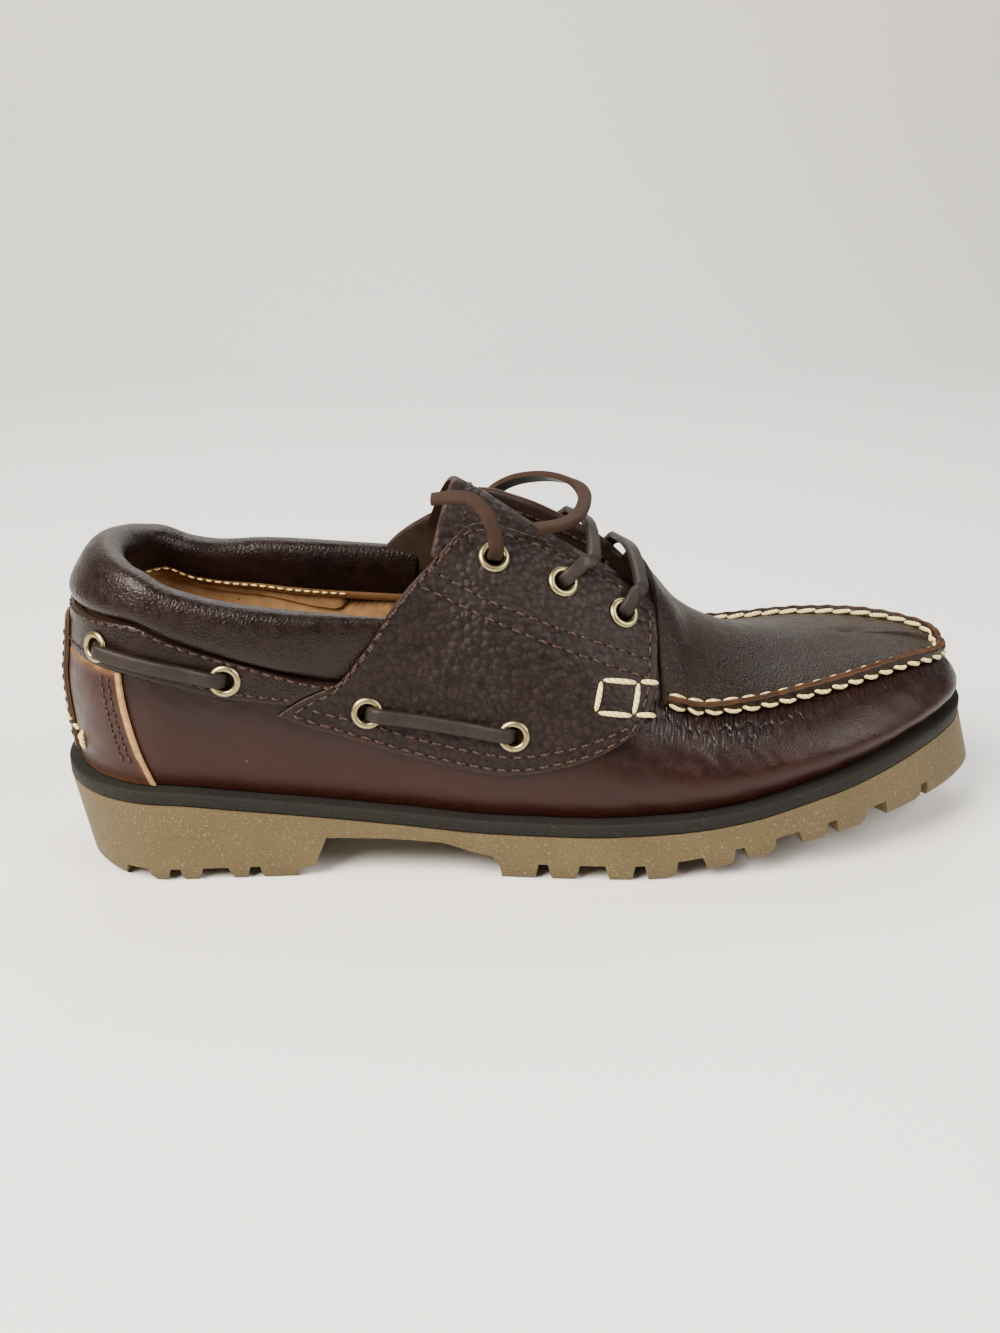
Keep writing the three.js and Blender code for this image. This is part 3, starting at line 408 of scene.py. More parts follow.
# %% Cutting with a modifier
def settle(made):
    """Makes the result of the modifiers the piece's own mesh."""
    bpy.context.view_layer.update()
    graph = bpy.context.evaluated_depsgraph_get()
    result = made.evaluated_get(graph)
    made.data = bpy.data.meshes.new_from_object(result, preserve_all_data_layers=True, depsgraph=graph)
    made.modifiers.clear()
    return made


def cut(made, tool, crossing=False):
    """Takes the tool away; crossing says that parts of the tool cross each other."""
    step = made.modifiers.new("cut", "BOOLEAN")
    step.operation, step.solver, step.object = "DIFFERENCE", "EXACT", tool
    step.use_self = crossing
    settle(made)
    shade(made)
    return made


print("cutting helpers ready")


# %% Nets and slabs
def net_faces(rows, cols, wrap=False, start=0, closed=False):
    """Faces of a net of points; wrap joins the last column to the first, closed the last row."""
    ids = start + np.arange(rows * cols).reshape(rows, cols)
    if closed:
        ids = np.vstack([ids, ids[:1]])
    if wrap:
        ids = np.hstack([ids, ids[:, :1]])
    return np.stack([ids[:-1, :-1], ids[:-1, 1:], ids[1:, 1:], ids[1:, :-1]], -1).reshape(-1, 4)


def slab(name, top, bottom, materials, values=None, sharp=40, keep=None, wrap=False, face_kind=None):
    """A closed piece between two nets of the same form; keep says which cells of the net stay.

    The first material is for the face, the second for the rim and the third for the back.
    """
    points = np.concatenate([top.reshape(-1, 3), bottom.reshape(-1, 3)])
    same = np.unique(np.round(top.reshape(-1, 3), 3), axis=0, return_index=True, return_inverse=True)
    number = same[1][same[2].ravel()]
    count = len(number)
    face = number[net_faces(*top.shape[:2], wrap)]
    kind = np.zeros(len(face), int) if face_kind is None else np.ravel(face_kind)
    if keep is not None:
        face, kind = face[keep.ravel()], kind[keep.ravel()]
    edges = np.concatenate([face[:, [k, (k + 1) % 4]] for k in range(4)])
    edges = edges[edges[:, 0] != edges[:, 1]]
    lone = ~np.isin(edges[:, 0] * count + edges[:, 1], edges[:, 1] * count + edges[:, 0])
    rim = np.concatenate([edges[lone][:, ::-1], edges[lone] + count], 1)
    quads = [*face, *(face[:, ::-1] + count), *rim]
    kinds = [*kind] + [2 % len(materials)] * len(face) + [1 % len(materials)] * len(rim)
    faces = [list(dict.fromkeys(q.tolist())) for q in quads]
    kinds = [k for k, f in zip(kinds, faces) if len(f) > 2]
    values = {k: np.r_[np.ravel(v), np.ravel(v)] for k, v in (values or {}).items()}
    return piece(name, points, [f for f in faces if len(f) > 2], materials, kinds, values, sharp)


print("a net of 3 by 4 points has", len(net_faces(3, 4)), "faces")


# %% Threads as short tubes
def tubes(name, paths, outward, radius, material, sides=7, flat=1.0):
    """Short threads, thinner where they sink in: paths is (how many, points, 3), outward faces away."""
    paths = np.asarray(paths, float)
    many, steps = paths.shape[:2]
    run = unit(np.gradient(paths, axis=1))
    across = unit(np.cross(run, np.broadcast_to(outward, paths.shape)))
    lift = np.cross(across, run)
    share = np.linspace(0, 1, steps)
    thick = radius * (0.35 + 0.65 * np.sin(np.pi * share) ** 0.4)[None, :, None, None]
    turn = np.linspace(0, 2 * np.pi, sides, endpoint=False)
    ring = across[:, :, None] * np.cos(turn)[:, None] + lift[:, :, None] * np.sin(turn)[:, None] * flat
    points = paths[:, :, None] + ring * thick
    faces = []
    for k in range(many):
        start = k * steps * sides
        faces += [*net_faces(steps, sides, True, start)]
        faces += [range(start, start + sides), range(start + (steps - 1) * sides, start + steps * sides)]
    return piece(name, points, faces, [material], sharp=80)


print("thread helper ready")


# %% Material helpers
def from_hex(text):
    """An sRGB hex colour as linear numbers."""
    shares = [int(text[i:i + 2], 16) / 255 for i in (1, 3, 5)]
    return (*[s / 12.92 if s <= 0.04045 else ((s + 0.055) / 1.055) ** 2.4 for s in shares], 1)


def add(tree, kind, links=None, **settings):
    """A node with its settings; links gives values or other nodes' outputs for its inputs."""
    made = tree.nodes.new(kind)
    for name, value in settings.items():
        setattr(made, name, value)
    for name, value in (links or {}).items():
        if isinstance(value, bpy.types.NodeSocket):
            tree.links.new(value, made.inputs[name])
        else:
            made.inputs[name].default_value = value
    return made


def new_material(name):
    made = bpy.data.materials.new(name)
    made.use_nodes = True
    made.node_tree.nodes.clear()
    return made, made.node_tree


def per_mm(size):
    """The scale of a pattern whose grain is this many millimetres wide."""
    return 1000 / size


print("helpers ready")

# %% [markdown]
# ## Leathers
# All of them are hide: dyed through, oiled or waxed, with pores and a grain. They differ in colour,
# in the size of the grain and in gloss. Colour drifts slowly over the hide, the grain is a bump from
# cells as wide as the real pebbles, and edges rub paler. A net of values on the mesh, wear, says where
# an edge is near; another paints shade into creases and dark corners, and the valleys of the grain get
# painted shade too. Leather has an IOR of about 1.5 and is never metallic.


# %% Details of leather
# widths and depths of the patterns on hide, in millimetres
drift_width, mottle_width, pore_width, fold_width = 28, 3.5, 0.45, 5.0
pore_depth, crack_depth, crack_width, crack_length = 0.02, 0.28, 1.75, 6.5
# tones of painted shade: in creases and dark corners, and in the cracks of gathered hide
painted_shade_colour, crack_shade_colour = "#120A0A", "#0D0707"
round_grain = 2  # a grain wider than this is seen pebble by pebble


def hide_grain(tree, place, grain, valley_shade_tone):
    """The height of the grain, rounded cells of this width in mm, and the painted shade of the valleys
    between.
    """
    bend = add(tree, "ShaderNodeTexNoise", {"Vector": place, "Scale": per_mm(grain * 1.6), "Detail": 2.0})
    shifted = add(tree, "ShaderNodeVectorMath", {0: bend.outputs["Color"], 1: (grain * 0.0005,) * 3},
                  operation="MULTIPLY")
    where = add(tree, "ShaderNodeVectorMath", {0: place, 1: shifted.outputs[0]}, operation="ADD").outputs[0]
    cells = add(tree, "ShaderNodeTexVoronoi", {"Vector": where, "Scale": per_mm(grain)},
                feature="DISTANCE_TO_EDGE").outputs["Distance"]
    pebble = add(tree, "ShaderNodeMapRange", {"Value": cells, "From Min": -0.12, "From Max": 0.42},
                 interpolation_type="SMOOTHSTEP")
    if grain > round_grain:
        domes = add(tree, "ShaderNodeTexVoronoi", {
            "Vector": where, "Scale": per_mm(grain), "Smoothness": 0.18,
        }, feature="SMOOTH_F1")
        pebble = add(tree, "ShaderNodeMapRange", {
            "Value": domes.outputs["Distance"], "From Max": 0.8, "To Min": 1.0, "To Max": 0.0,
        })
    # the valleys between the cells are darkened: painted shade
    valley_shade = add(tree, "ShaderNodeMapRange", {
        "Value": cells, "From Min": 0.0, "From Max": 0.2, "To Min": valley_shade_tone, "To Max": 1.0,
    })
    return pebble.outputs[0], valley_shade.outputs[0]


def scuffed(tree, place, pores, colour, worn, patches):
    """The colour with the worn tone in ragged spots; each patch is a place and a size in mm."""
    for spot, size in patches:
        centre = tuple(c * MM for c in spot)
        away = add(tree, "ShaderNodeVectorMath", {0: place, 1: centre}, operation="DISTANCE")
        near = add(tree, "ShaderNodeMapRange", {
            "Value": away.outputs["Value"], "From Min": size * MM, "From Max": 0.0,
        })
        torn = add(tree, "ShaderNodeMath", {0: near.outputs[0], 1: pores}, operation="MULTIPLY")
        torn = add(tree, "ShaderNodeMapRange", {"Value": torn.outputs[0], "From Min": 0.3, "From Max": 0.5})
        colour = add(tree, "ShaderNodeMix", {0: torn.outputs[0], 6: colour, 7: from_hex(worn)},
                     data_type="RGBA").outputs[2]
    return colour


def cracked(tree, colour, bump):
    """Bump of gathered hide, which cracks into long cells that hang from the seam, and painted shade in the
    cracks.
    """
    seam_run, drop, share = (add(tree, "ShaderNodeAttribute", attribute_name=word).outputs["Fac"]
                             for word in ("seam_run", "under_seam", "gather"))
    across = add(tree, "ShaderNodeMath", {0: seam_run, 1: 1 / crack_width}, operation="MULTIPLY")
    down = add(tree, "ShaderNodeMath", {0: drop, 1: 1 / crack_length}, operation="MULTIPLY")
    lean = add(tree, "ShaderNodeMath", {0: down.outputs[0], 1: 0.5, 2: across.outputs[0]},
               operation="MULTIPLY_ADD")
    flat = add(tree, "ShaderNodeCombineXYZ", {0: lean.outputs[0], 1: down.outputs[0]})
    long_cells = add(tree, "ShaderNodeTexVoronoi", {
        "Vector": flat.outputs[0], "Scale": 1.0, "Randomness": 0.9,
    }, voronoi_dimensions="2D", feature="DISTANCE_TO_EDGE")
    opened = add(tree, "ShaderNodeMapRange", {
        "Value": long_cells.outputs["Distance"], "From Max": 0.2, "To Min": 1.0, "To Max": 0.0,
    }, interpolation_type="SMOOTHSTEP")
    crack_and_shade = add(tree, "ShaderNodeMath", {0: opened.outputs[0], 1: share}, operation="MULTIPLY").outputs[0]
    # the cracks are darkened with painted shade
    colour = add(tree, "ShaderNodeMix", {0: crack_and_shade, 6: colour, 7: from_hex(crack_shade_colour)},
                 data_type="RGBA").outputs[2]
    bump = add(tree, "ShaderNodeBump", {
        "Height": crack_and_shade, "Distance": crack_depth * MM, "Strength": 1.0, "Normal": bump.outputs[0],
    }, invert=True)
    return colour, bump


print("grain, scuffs and cracks ready")


# %% Leather as a whole
def leather(name, dark, light, worn, grain=0.9, depth=0.12, rough=0.45, wrinkle=0.1, low=None, patches=(),
            valley_shade_tone=0.7, gathered=False, shine=0.22):
    """dark and light are the hide's two tones, worn the tone where it is rubbed; grain is in mm."""
    made, tree = new_material(name)
    place = add(tree, "ShaderNodeTexCoord").outputs["Object"]
    drift = add(tree, "ShaderNodeTexNoise", {"Vector": place, "Scale": per_mm(drift_width), "Detail": 4.0})
    mottle = add(tree, "ShaderNodeTexNoise", {"Vector": place, "Scale": per_mm(mottle_width), "Detail": 5.0})
    mottled = mottle.outputs["Fac"]
    both = add(tree, "ShaderNodeMath", {0: drift.outputs["Fac"], 1: mottled}, operation="ADD")
    tone = add(tree, "ShaderNodeMapRange", {"Value": both.outputs[0], "From Min": 0.7, "From Max": 1.35})
    colour = add(tree, "ShaderNodeMix", {0: tone.outputs[0], 6: from_hex(dark), 7: from_hex(light)},
                 data_type="RGBA").outputs[2]
    if low is not None:
        rise = add(tree, "ShaderNodeAttribute", attribute_name="rise")
        fade = add(tree, "ShaderNodeMapRange", {
            "Value": rise.outputs["Fac"], "From Min": 0.15, "From Max": 1.7, "To Min": 0.75, "To Max": 0.0,
        }, interpolation_type="SMOOTHSTEP")
        colour = add(tree, "ShaderNodeMix", {0: fade.outputs[0], 6: colour, 7: from_hex(low)},
                     data_type="RGBA").outputs[2]
    pebble, valley_shade = hide_grain(tree, place, grain, valley_shade_tone)
    colour = add(tree, "ShaderNodeMix", {0: 1.0, 6: colour, 7: valley_shade}, data_type="RGBA",
                 blend_type="MULTIPLY").outputs[2]
    # painted shade darkens creases and dark corners, rubbed edges are paler, and a few places are scuffed
    shade_amount, wear = (add(tree, "ShaderNodeAttribute", attribute_name=word).outputs["Fac"]
                    for word in ("painted_shade", "wear"))
    colour = add(tree, "ShaderNodeMix", {0: shade_amount, 6: colour, 7: from_hex(painted_shade_colour)},
                 data_type="RGBA").outputs[2]
    pores = add(tree, "ShaderNodeTexNoise", {
        "Vector": place, "Scale": per_mm(pore_width), "Detail": 3.0,
    }).outputs["Fac"]
    rubbed = add(tree, "ShaderNodeMath", {0: wear, 1: mottled}, operation="MULTIPLY")
    colour = add(tree, "ShaderNodeMix", {0: rubbed.outputs[0], 6: colour, 7: from_hex(worn)},
                 data_type="RGBA").outputs[2]
    colour = scuffed(tree, place, pores, colour, worn, patches)
    folds = add(tree, "ShaderNodeTexNoise", {"Vector": place, "Scale": per_mm(fold_width), "Detail": 4.0})
    bump = add(tree, "ShaderNodeBump", {
        "Height": folds.outputs["Fac"], "Distance": wrinkle * MM, "Strength": 1.0,
    })
    bump = add(tree, "ShaderNodeBump", {
        "Height": pebble, "Distance": depth * MM, "Strength": 1.0, "Normal": bump.outputs[0],
    })
    bump = add(tree, "ShaderNodeBump", {
        "Height": pores, "Distance": pore_depth * MM, "Strength": 0.6, "Normal": bump.outputs[0],
    })
    if gathered:
        colour, bump = cracked(tree, colour, bump)
    gloss = add(tree, "ShaderNodeMapRange", {
        "Value": mottled, "From Min": 0.3, "From Max": 0.7, "To Min": rough - 0.06, "To Max": rough + 0.09,
    })
    shader = add(tree, "ShaderNodeBsdfPrincipled", {
        "Base Color": colour, "Roughness": gloss.outputs[0], "Normal": bump.outputs[0], "IOR": 1.5,
        "Specular IOR Level": shine,
    })
    add(tree, "ShaderNodeOutputMaterial", {"Surface": shader.outputs[0]})
    return made


print("leather ready")

# %% The leathers of this shoe
# vamp and quarters: pull-up leather, dyed burgundy brown, oiled and brushed to a soft gloss
tub_leather = leather("oiled_pullup_leather", "#110706", "#230F0B", "#A98058", grain=0.8, depth=0.05,
                      rough=0.36, wrinkle=0.1, low="#2E120B", gathered=True,
                      patches=[((-92, -38, 40), 2.2), ((36, -49, 32), 2.6), ((98, -38, 50), 2.4)])
# apron: the same hide with a fine drawn grain, drier
plug_leather = leather("fine_grain_leather", "#140C08", "#21150E", "#5A3C28", grain=1.2, depth=0.16,
                       rough=0.45, shine=0.2)
# saddle and tongue: drum-shrunk hide with round pebbles of 2.6 mm
pebbled_leather = leather("tumbled_pebbled_leather", "#160D0A", "#221510", "#452E24", grain=2.6, depth=0.4,
                          rough=0.48, valley_shade_tone=0.35, shine=0.2)
# collar, band and heel strip: smooth waxed hide
collar_leather = leather("waxed_collar_leather", "#120806", "#1E0F0B", "#301E17", grain=1.3, depth=0.09,
                         rough=0.34, wrinkle=0.2)
# lining and footbed: vegetable tanned calf, undyed, dull
lining_leather = leather("tan_lining_leather", "#8C6844", "#B28E66", "#6E4426", grain=0.7, depth=0.04,
                         rough=0.7, valley_shade_tone=0.9)
# laces: rawhide cut in strips, smooth on its face
lace_leather = leather("rawhide_lace", "#1C1714", "#28201C", "#45352B", grain=0.8, depth=0.04, rough=0.5)
# the flesh side and cut edges of dyed hide are paler, fibrous and without gloss
flesh_leather = leather("flesh_side_leather", "#291C15", "#3C291E", "#48372A", grain=0.5, depth=0.08,
                        rough=0.85)
inked_edge = leather("inked_cut_edge", "#1C110E", "#30201A", "#4E3628", grain=0.5, depth=0.06, rough=0.6)
raw_edge = leather("raw_cut_edge", "#291A10", "#50351F", "#5E4229", grain=0.5, depth=0.1, rough=0.85)
pale_edge = leather("pale_cut_edge", "#7A5430", "#B88E5E", "#C8A476", grain=0.5, depth=0.06, rough=0.8)
# a needle hole is only seen as a dark dent, so this material is painted shade
needle_hole_shade = leather("needle_hole_shade", "#0A0605", "#120B09", "#120B09", grain=0.5, depth=0.05, rough=0.9)
print("leathers:", len([m for m in bpy.data.materials if "leather" in m.name]))

# %% [markdown]
# ## Rubber, brass and thread
# Gum rubber is moulded: even, slightly rough and full of pale specks. The midsole is dark foamed
# rubber that was ground at its edge. The eyelets are rolled brass that has dulled in its hollows.
# Thread is waxed polyester, twisted, so fine slanting ridges run round it.


# %% Rubber, brass and thread
def rubber(name, dark, light, speck, speck_size, rough, grind):
    made, tree = new_material(name)
    place = add(tree, "ShaderNodeTexCoord").outputs["Object"]
    cloud = add(tree, "ShaderNodeTexNoise", {"Vector": place, "Scale": per_mm(18), "Detail": 5.0})
    grit = add(tree, "ShaderNodeTexNoise", {"Vector": place, "Scale": per_mm(speck_size), "Detail": 2.0})
    colour = add(tree, "ShaderNodeMix", {0: cloud.outputs["Fac"], 6: from_hex(dark), 7: from_hex(light)},
                 data_type="RGBA").outputs[2]
    specks = add(tree, "ShaderNodeMapRange", {
        "Value": grit.outputs["Fac"], "From Min": 0.6, "From Max": 0.78,
    })
    colour = add(tree, "ShaderNodeMix", {0: specks.outputs[0], 6: colour, 7: from_hex(speck)},
                 data_type="RGBA").outputs[2]
    rasp = add(tree, "ShaderNodeTexNoise", {"Vector": place, "Scale": per_mm(0.9), "Detail": 4.0})
    bump = add(tree, "ShaderNodeBump", {
        "Height": rasp.outputs["Fac"], "Distance": grind * MM, "Strength": 0.9,
    })
    shader = add(tree, "ShaderNodeBsdfPrincipled", {
        "Base Color": colour, "Roughness": rough, "IOR": 1.52, "Specular IOR Level": 0.22,
        "Normal": bump.outputs[0],
    })
    add(tree, "ShaderNodeOutputMaterial", {"Surface": shader.outputs[0]})
    return made


gum_rubber = rubber("moulded_gum_rubber", "#4A3F2A", "#5E5137", "#8E805C", 0.6, 0.66, 0.12)
rand_rubber = rubber("ground_foam_rubber", "#0D0B09", "#191613", "#2B2822", 0.7, 0.75, 0.35)

aged_brass, tree = new_material("rolled_aged_brass")
place = add(tree, "ShaderNodeTexCoord").outputs["Object"]
tarnish = add(tree, "ShaderNodeTexNoise", {"Vector": place, "Scale": per_mm(1.6), "Detail": 4.0})
colour = add(tree, "ShaderNodeMix", {
    0: tarnish.outputs["Fac"], 6: from_hex("#6E6348"), 7: from_hex("#B5A97E"),
}, data_type="RGBA")
dull = add(tree, "ShaderNodeMapRange", {"Value": tarnish.outputs["Fac"], "To Min": 0.45, "To Max": 0.25})
shader = add(tree, "ShaderNodeBsdfPrincipled", {"Base Color": colour.outputs[2], "Metallic": 1.0,
                                                "Roughness": dull.outputs[0]})
add(tree, "ShaderNodeOutputMaterial", {"Surface": shader.outputs[0]})


def thread_material(name, dark, light, rough):
    made, tree = new_material(name)
    place = add(tree, "ShaderNodeTexCoord").outputs["Object"]
    turned = add(tree, "ShaderNodeMapping", {"Vector": place, "Rotation": (0.5, 0.6, 0.7)})
    twist = add(tree, "ShaderNodeTexWave", {
        "Vector": turned.outputs[0], "Scale": per_mm(3.2), "Distortion": 1.5,
    })
    # the twist's grooves are darker and its ridges paler: painted shade and highlight along the bump
    colour = add(tree, "ShaderNodeMix", {0: twist.outputs["Fac"], 6: from_hex(dark), 7: from_hex(light)},
                 data_type="RGBA")
    bump = add(tree, "ShaderNodeBump", {
        "Height": twist.outputs["Fac"], "Distance": 0.08 * MM, "Strength": 0.7,
    })
    shader = add(tree, "ShaderNodeBsdfPrincipled", {
        "Base Color": colour.outputs[2], "Roughness": rough, "Normal": bump.outputs[0], "IOR": 1.5,
        "Specular IOR Level": 0.25,
    })
    add(tree, "ShaderNodeOutputMaterial", {"Surface": shader.outputs[0]})
    return made


cream_thread = thread_material("waxed_cream_thread", "#C2A868", "#F8E6B0", 0.5)
dark_thread = thread_material("brown_twisted_thread", "#1E130E", "#46312A", 0.6)
tan_thread = thread_material("tan_twisted_thread", "#8A5A30", "#C89A62", 0.6)
print("materials in all:", len(bpy.data.materials))

# %% [markdown]
# ## The free ends of the lace
# The lace is a flat strip of rawhide. It comes up through the top eyelets and its two ends lie
# loose over the tongue. Each is a strip swept along given points, measured from the face of
# its eyelet, with the smooth side of the hide on one face and the flesh side on the other.

# %% Strips of lace
facing_eyelets = table(["along", "row", "bow"], [
    [0.46, 2.66, 0], [0.53, 2.66, 0.035], [0.593, 2.66, 0.017],
])
side_eyelets = table(["along", "row"], [[0.045, 2.42], [0.183, 2.5], [0.327, 1.72], [0.475, 1.28]])


def seat(along, row, side, height=panel_high + gap):
    """The place of an eyelet on the leather, and the direction it faces."""
    angle = angle_at(along, side)
    return over_skin(angle, row, height), skin_normal(angle, row)


def ribbon(name, path, facing, materials, width=lace_width, thick=lace_thickness):
    """A flat strip with rounded edges; facing is the direction of its smooth face along the way."""
    run = unit(np.gradient(path, axis=0))
    across = unit(np.cross(np.broadcast_to(facing, path.shape), run))
    lift = np.cross(run, across)
    w, t = width / 2, thick / 2
    corner = [(w - 0.15, -t), (w, -t * 0.55), (w, t * 0.45), (w - 0.35, t)]
    inner = [(w * 0.4, t * 1.04), (-w * 0.4, t * 1.04)]
    outline_points = [*corner, *inner, *[(-a, b) for a, b in corner[::-1]]]
    a, b = np.array(outline_points).T
    points = path[:, None] + across[:, None] * a[:, None] + lift[:, None] * b[:, None]
    sides = len(outline_points)
    last = (len(path) - 1) * sides
    faces = [*net_faces(len(path), sides, True), range(sides), range(last, last + sides)]
    kinds = [1 if k % sides == sides - 1 else 0 for k in range(last)] + [1, 1]
    return piece(name, points, faces, materials, kinds, sharp=60)


# %% Lace ends
lateral_end = [(-0.1, 0.8, -0.6), (0.3, -2.5, 1.9), (0, -3.9, 5.7), (-1, -3.5, 10.2), (-3.2, -1.6, 14.5),
               (-7.3, 1.3, 17.5), (-12.8, 3.3, 17.7), (-18.8, 4.5, 17)]
medial_end = [(0, -1, -0.3), (0.7, 2.7, 1.5), (4, 5.7, 5), (11.5, 5.7, 8.8), (21.5, 2.7, 10.5),
              (29.7, -5.3, 10.3), (32.3, -16.3, 8.5), (29, -29.3, 6.1), (22.5, -39.3, 5.3),
              (12.5, -46.8, 5.9)]


def lace_end(name, node, route, side, facing, steps):
    place, normal = seat(facing_eyelets["along"][0], facing_eyelets["row"][0], side)
    exit_point = place + normal * flange_thickness
    shares = np.linspace(0, 1, steps)
    path = smooth_line(exit_point + np.array(route), shares)
    turning = facing[0] + (facing[1] - facing[0]) * shares[:, None]
    made = ribbon(name, path, turning, [flesh_leather, lace_leather])
    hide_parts(node)
    return made


lace_end("lace_end_near", "lace_end_lateral", lateral_end, LATERAL,
         np.array([(0.1, -1.0, 0.4), (0.0, -0.35, 1.0)]), 36)
lace_end("lace_end_far", "lace_end_medial", medial_end, MEDIAL,
         np.array([(0.0, 1.0, 0.6), (0.2, -0.3, 1.0)]), 80)

# %% [markdown]
# ## Sole
# The outsole is one moulding: a loft of rings from the tread up to its top, from which the
# waist and the notches between the lugs are cut. The midsole is a sheet ground flush with it, and
# its top edge is eased. Cutting with exact booleans keeps the corners of the lugs crisp, as a mould does.


# %% Rings of the sole
def plan_ring(angles, heel_in=0.0, toe_out=0.0, narrower=0.0, up=outsole_top, lift=0.0):
    along = along_of(angles)
    side = np.where(np.mod(angles, 2 * np.pi) <= np.pi, -1.0, 1.0)
    x = along_x(along) + heel_in * np.maximum(0, 1 - along / 0.16) + toe_out * smooth((along - 0.82) / 0.18)
    half = (half_width(along, side) - narrower) * end_rounding(along)
    return np.stack([x, middle_y(along) + side * half, up(along) + lift], -1)


def drawn_in(ring, distance):
    """A ring moved towards its middle in plan."""
    step = np.roll(ring, -1, axis=0) - np.roll(ring, 1, axis=0)
    inward = unit(np.stack([-step[:, 1], step[:, 0], np.zeros(len(ring))], -1))
    return ring + inward * distance


def plate(name, rings, materials, values=None, sharp=40):
    """A closed body lofted through rings with a point at the heel first, the lowest ring first."""
    count = rings[0].shape[0]
    half = count // 2
    faces = list(net_faces(len(rings), count, True))
    top = (len(rings) - 1) * count
    for i in range(half):
        across = [i, i + 1, count - i - 1, (count - i) % count]
        faces.append([top + k for k in across])
        faces.append(across[::-1])
    faces = [list(dict.fromkeys(face)) for face in faces]
    return piece(name, np.concatenate(rings), [f for f in faces if len(f) > 2], materials, values=values,
                 sharp=sharp)


# %% Cutters
def prism(outline_2d, origin, axes, start, end):
    """The points and faces of a prism with an outline in the first two axes, along the third."""
    first, second, third = (np.asarray(a, float) for a in axes)
    flat = [np.asarray(origin, float) + first * a + second * b for a, b in outline_2d]
    count = len(flat)
    points = [p + third * start for p in flat] + [p + third * end for p in flat]
    faces = [range(count), range(2 * count - 1, count - 1, -1)]
    faces += [[i, (i + 1) % count, (i + 1) % count + count, i + count] for i in range(count)]
    return points, faces


def cutter(name, solids):
    points, faces = [], []
    for solid_points, solid_faces in solids:
        faces += [[k + len(points) for k in face] for face in solid_faces]
        points += list(solid_points)
    made = piece(name, points, faces, [])
    made.hide_render = True
    return made


def cut_away(made, name, solids, crossing=False):
    tool = cutter(name, solids)
    cut(made, tool, crossing)
    bpy.data.objects.remove(tool)
    return made


# %% Outsole
sole_angles = np.linspace(0, 2 * np.pi, 320, endpoint=False)
flank_foot = 0.75  # share of the heel's taper at the foot of the flank, over the bevel


def flank_up(share):
    """The height of a ring of the flank, for each place along the shoe."""
    return lambda along: (outsole_top(along) + (tread_up(along) + tread_bevel - outsole_top(along))
                          * share / flank_foot)


side_rings = [
    plan_ring(sole_angles, heel_taper * t, toe_jut * t / flank_foot, tread_bevel / 3 * t / flank_foot,
              flank_up(t)) for t in np.linspace(flank_foot, 0, 7)[1:-1]
]
outsole = plate("outsole_gum", [
    plan_ring(sole_angles, heel_taper, toe_jut - tread_bevel / 2, tread_bevel, tread_up),
    plan_ring(sole_angles, heel_taper * flank_foot, toe_jut, tread_bevel / 3, tread_up, tread_bevel),
    *side_rings,
    plan_ring(sole_angles, up=outsole_top),
], [gum_rubber])

waist = [(0.246, -0.18), (0.249, 0.154), (0.266, 0.205), (0.272, 0.42), (0.279, 0.673), (0.34, 0.723),
         (0.4, 0.737), (0.43, 0.588), (0.452, 0.487), (0.46, 0.346), (0.463, -0.25)]
waist_outline = [(along_x(a), up * outsole_top(a)) for a, up in waist]
cut_away(outsole, "waist_cut", [prism(waist_outline, (0, 0, 0), ((1, 0, 0), (0, 0, 1), (0, 1, 0)),
                                      -ball_width, ball_width)])

notches = table(["along", "width", "depth"], [
    *[[a, w, heel_lug_depth] for a, w in zip((0.078, 0.12, 0.162, 0.203), (wide_notch, narrow_notch) * 2)],
    *[[a, w, lug_depth] for a, w in zip((0.504, 0.555, 0.605, 0.66, 0.713, 0.765, 0.814, 0.865, 0.922),
                                        (narrow_notch, wide_notch) * 5)],
])


def tread_edge(along, side):
    y = middle_y(along) + side * half_width(along, side) * end_rounding(along)
    return np.array([along_x(along) + toe_jut * smooth((along - 0.82) / 0.18), y, tread_up(along)], float)


def notch(along, width, depth, side):
    run = unit(tread_edge(along + 0.01, side) - tread_edge(along - 0.01, side))
    inward = unit(np.array([-run[1], run[0], 0]) * -side)
    upward = unit(np.cross(run, inward) * -side)
    top = max(width * 0.55, width - notch_draft)
    shape = [(-width / 2 - 0.8, -depth / 2), (width / 2 + 0.8, -depth / 2), (width / 2, 0),
             (top / 2, depth), (-top / 2, depth), (-width / 2, 0)]
    return prism(shape, tread_edge(along, side), (run, upward, inward), -6, lug_reach)


cut_away(outsole, "notch_cuts", [notch(a, w, d, side) for side in (LATERAL, MEDIAL)
                                 for a, w, d in zip(*notches.values())], crossing=True)


def slot(along):
    slope = math.atan2(tread_up(along + 0.01) - tread_up(along - 0.01), 0.02 * last_length)
    run, up = (math.cos(slope), 0, math.sin(slope)), (-math.sin(slope), 0, math.cos(slope))
    w = narrow_notch / 2
    shape = [(-w, -slot_depth), (w, -slot_depth), (w, slot_depth), (-w, slot_depth)]
    origin = (along_x(along), middle_y(along), tread_up(along))
    return prism(shape, origin, (run, up, (0, 1, 0)), -slot_width / 2, slot_width / 2)


cut_away(outsole, "slot_cuts", [slot(a) for a in (0.1, 0.53, 0.685, 0.79)], crossing=True)
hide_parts("outsole")
print("outsole faces:", len(outsole.data.polygons))

# %% Midsole
ease, foot_ease = 0.7, 0.35
midsole = plate("midsole_rand", [
    drawn_in(plan_ring(sole_angles, up=outsole_top, lift=gap), foot_ease),
    plan_ring(sole_angles, up=outsole_top, lift=gap + foot_ease),
    plan_ring(sole_angles, up=midsole_top, lift=-ease),
    drawn_in(plan_ring(sole_angles, up=midsole_top, lift=-ease * 0.3), ease * 0.3),
    drawn_in(plan_ring(sole_angles, up=midsole_top), ease),
    drawn_in(plan_ring(sole_angles, up=midsole_top), feather_inset * 2),
], [rand_rubber], sharp=60)
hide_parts("midsole")
print("midsole faces:", len(midsole.data.polygons))

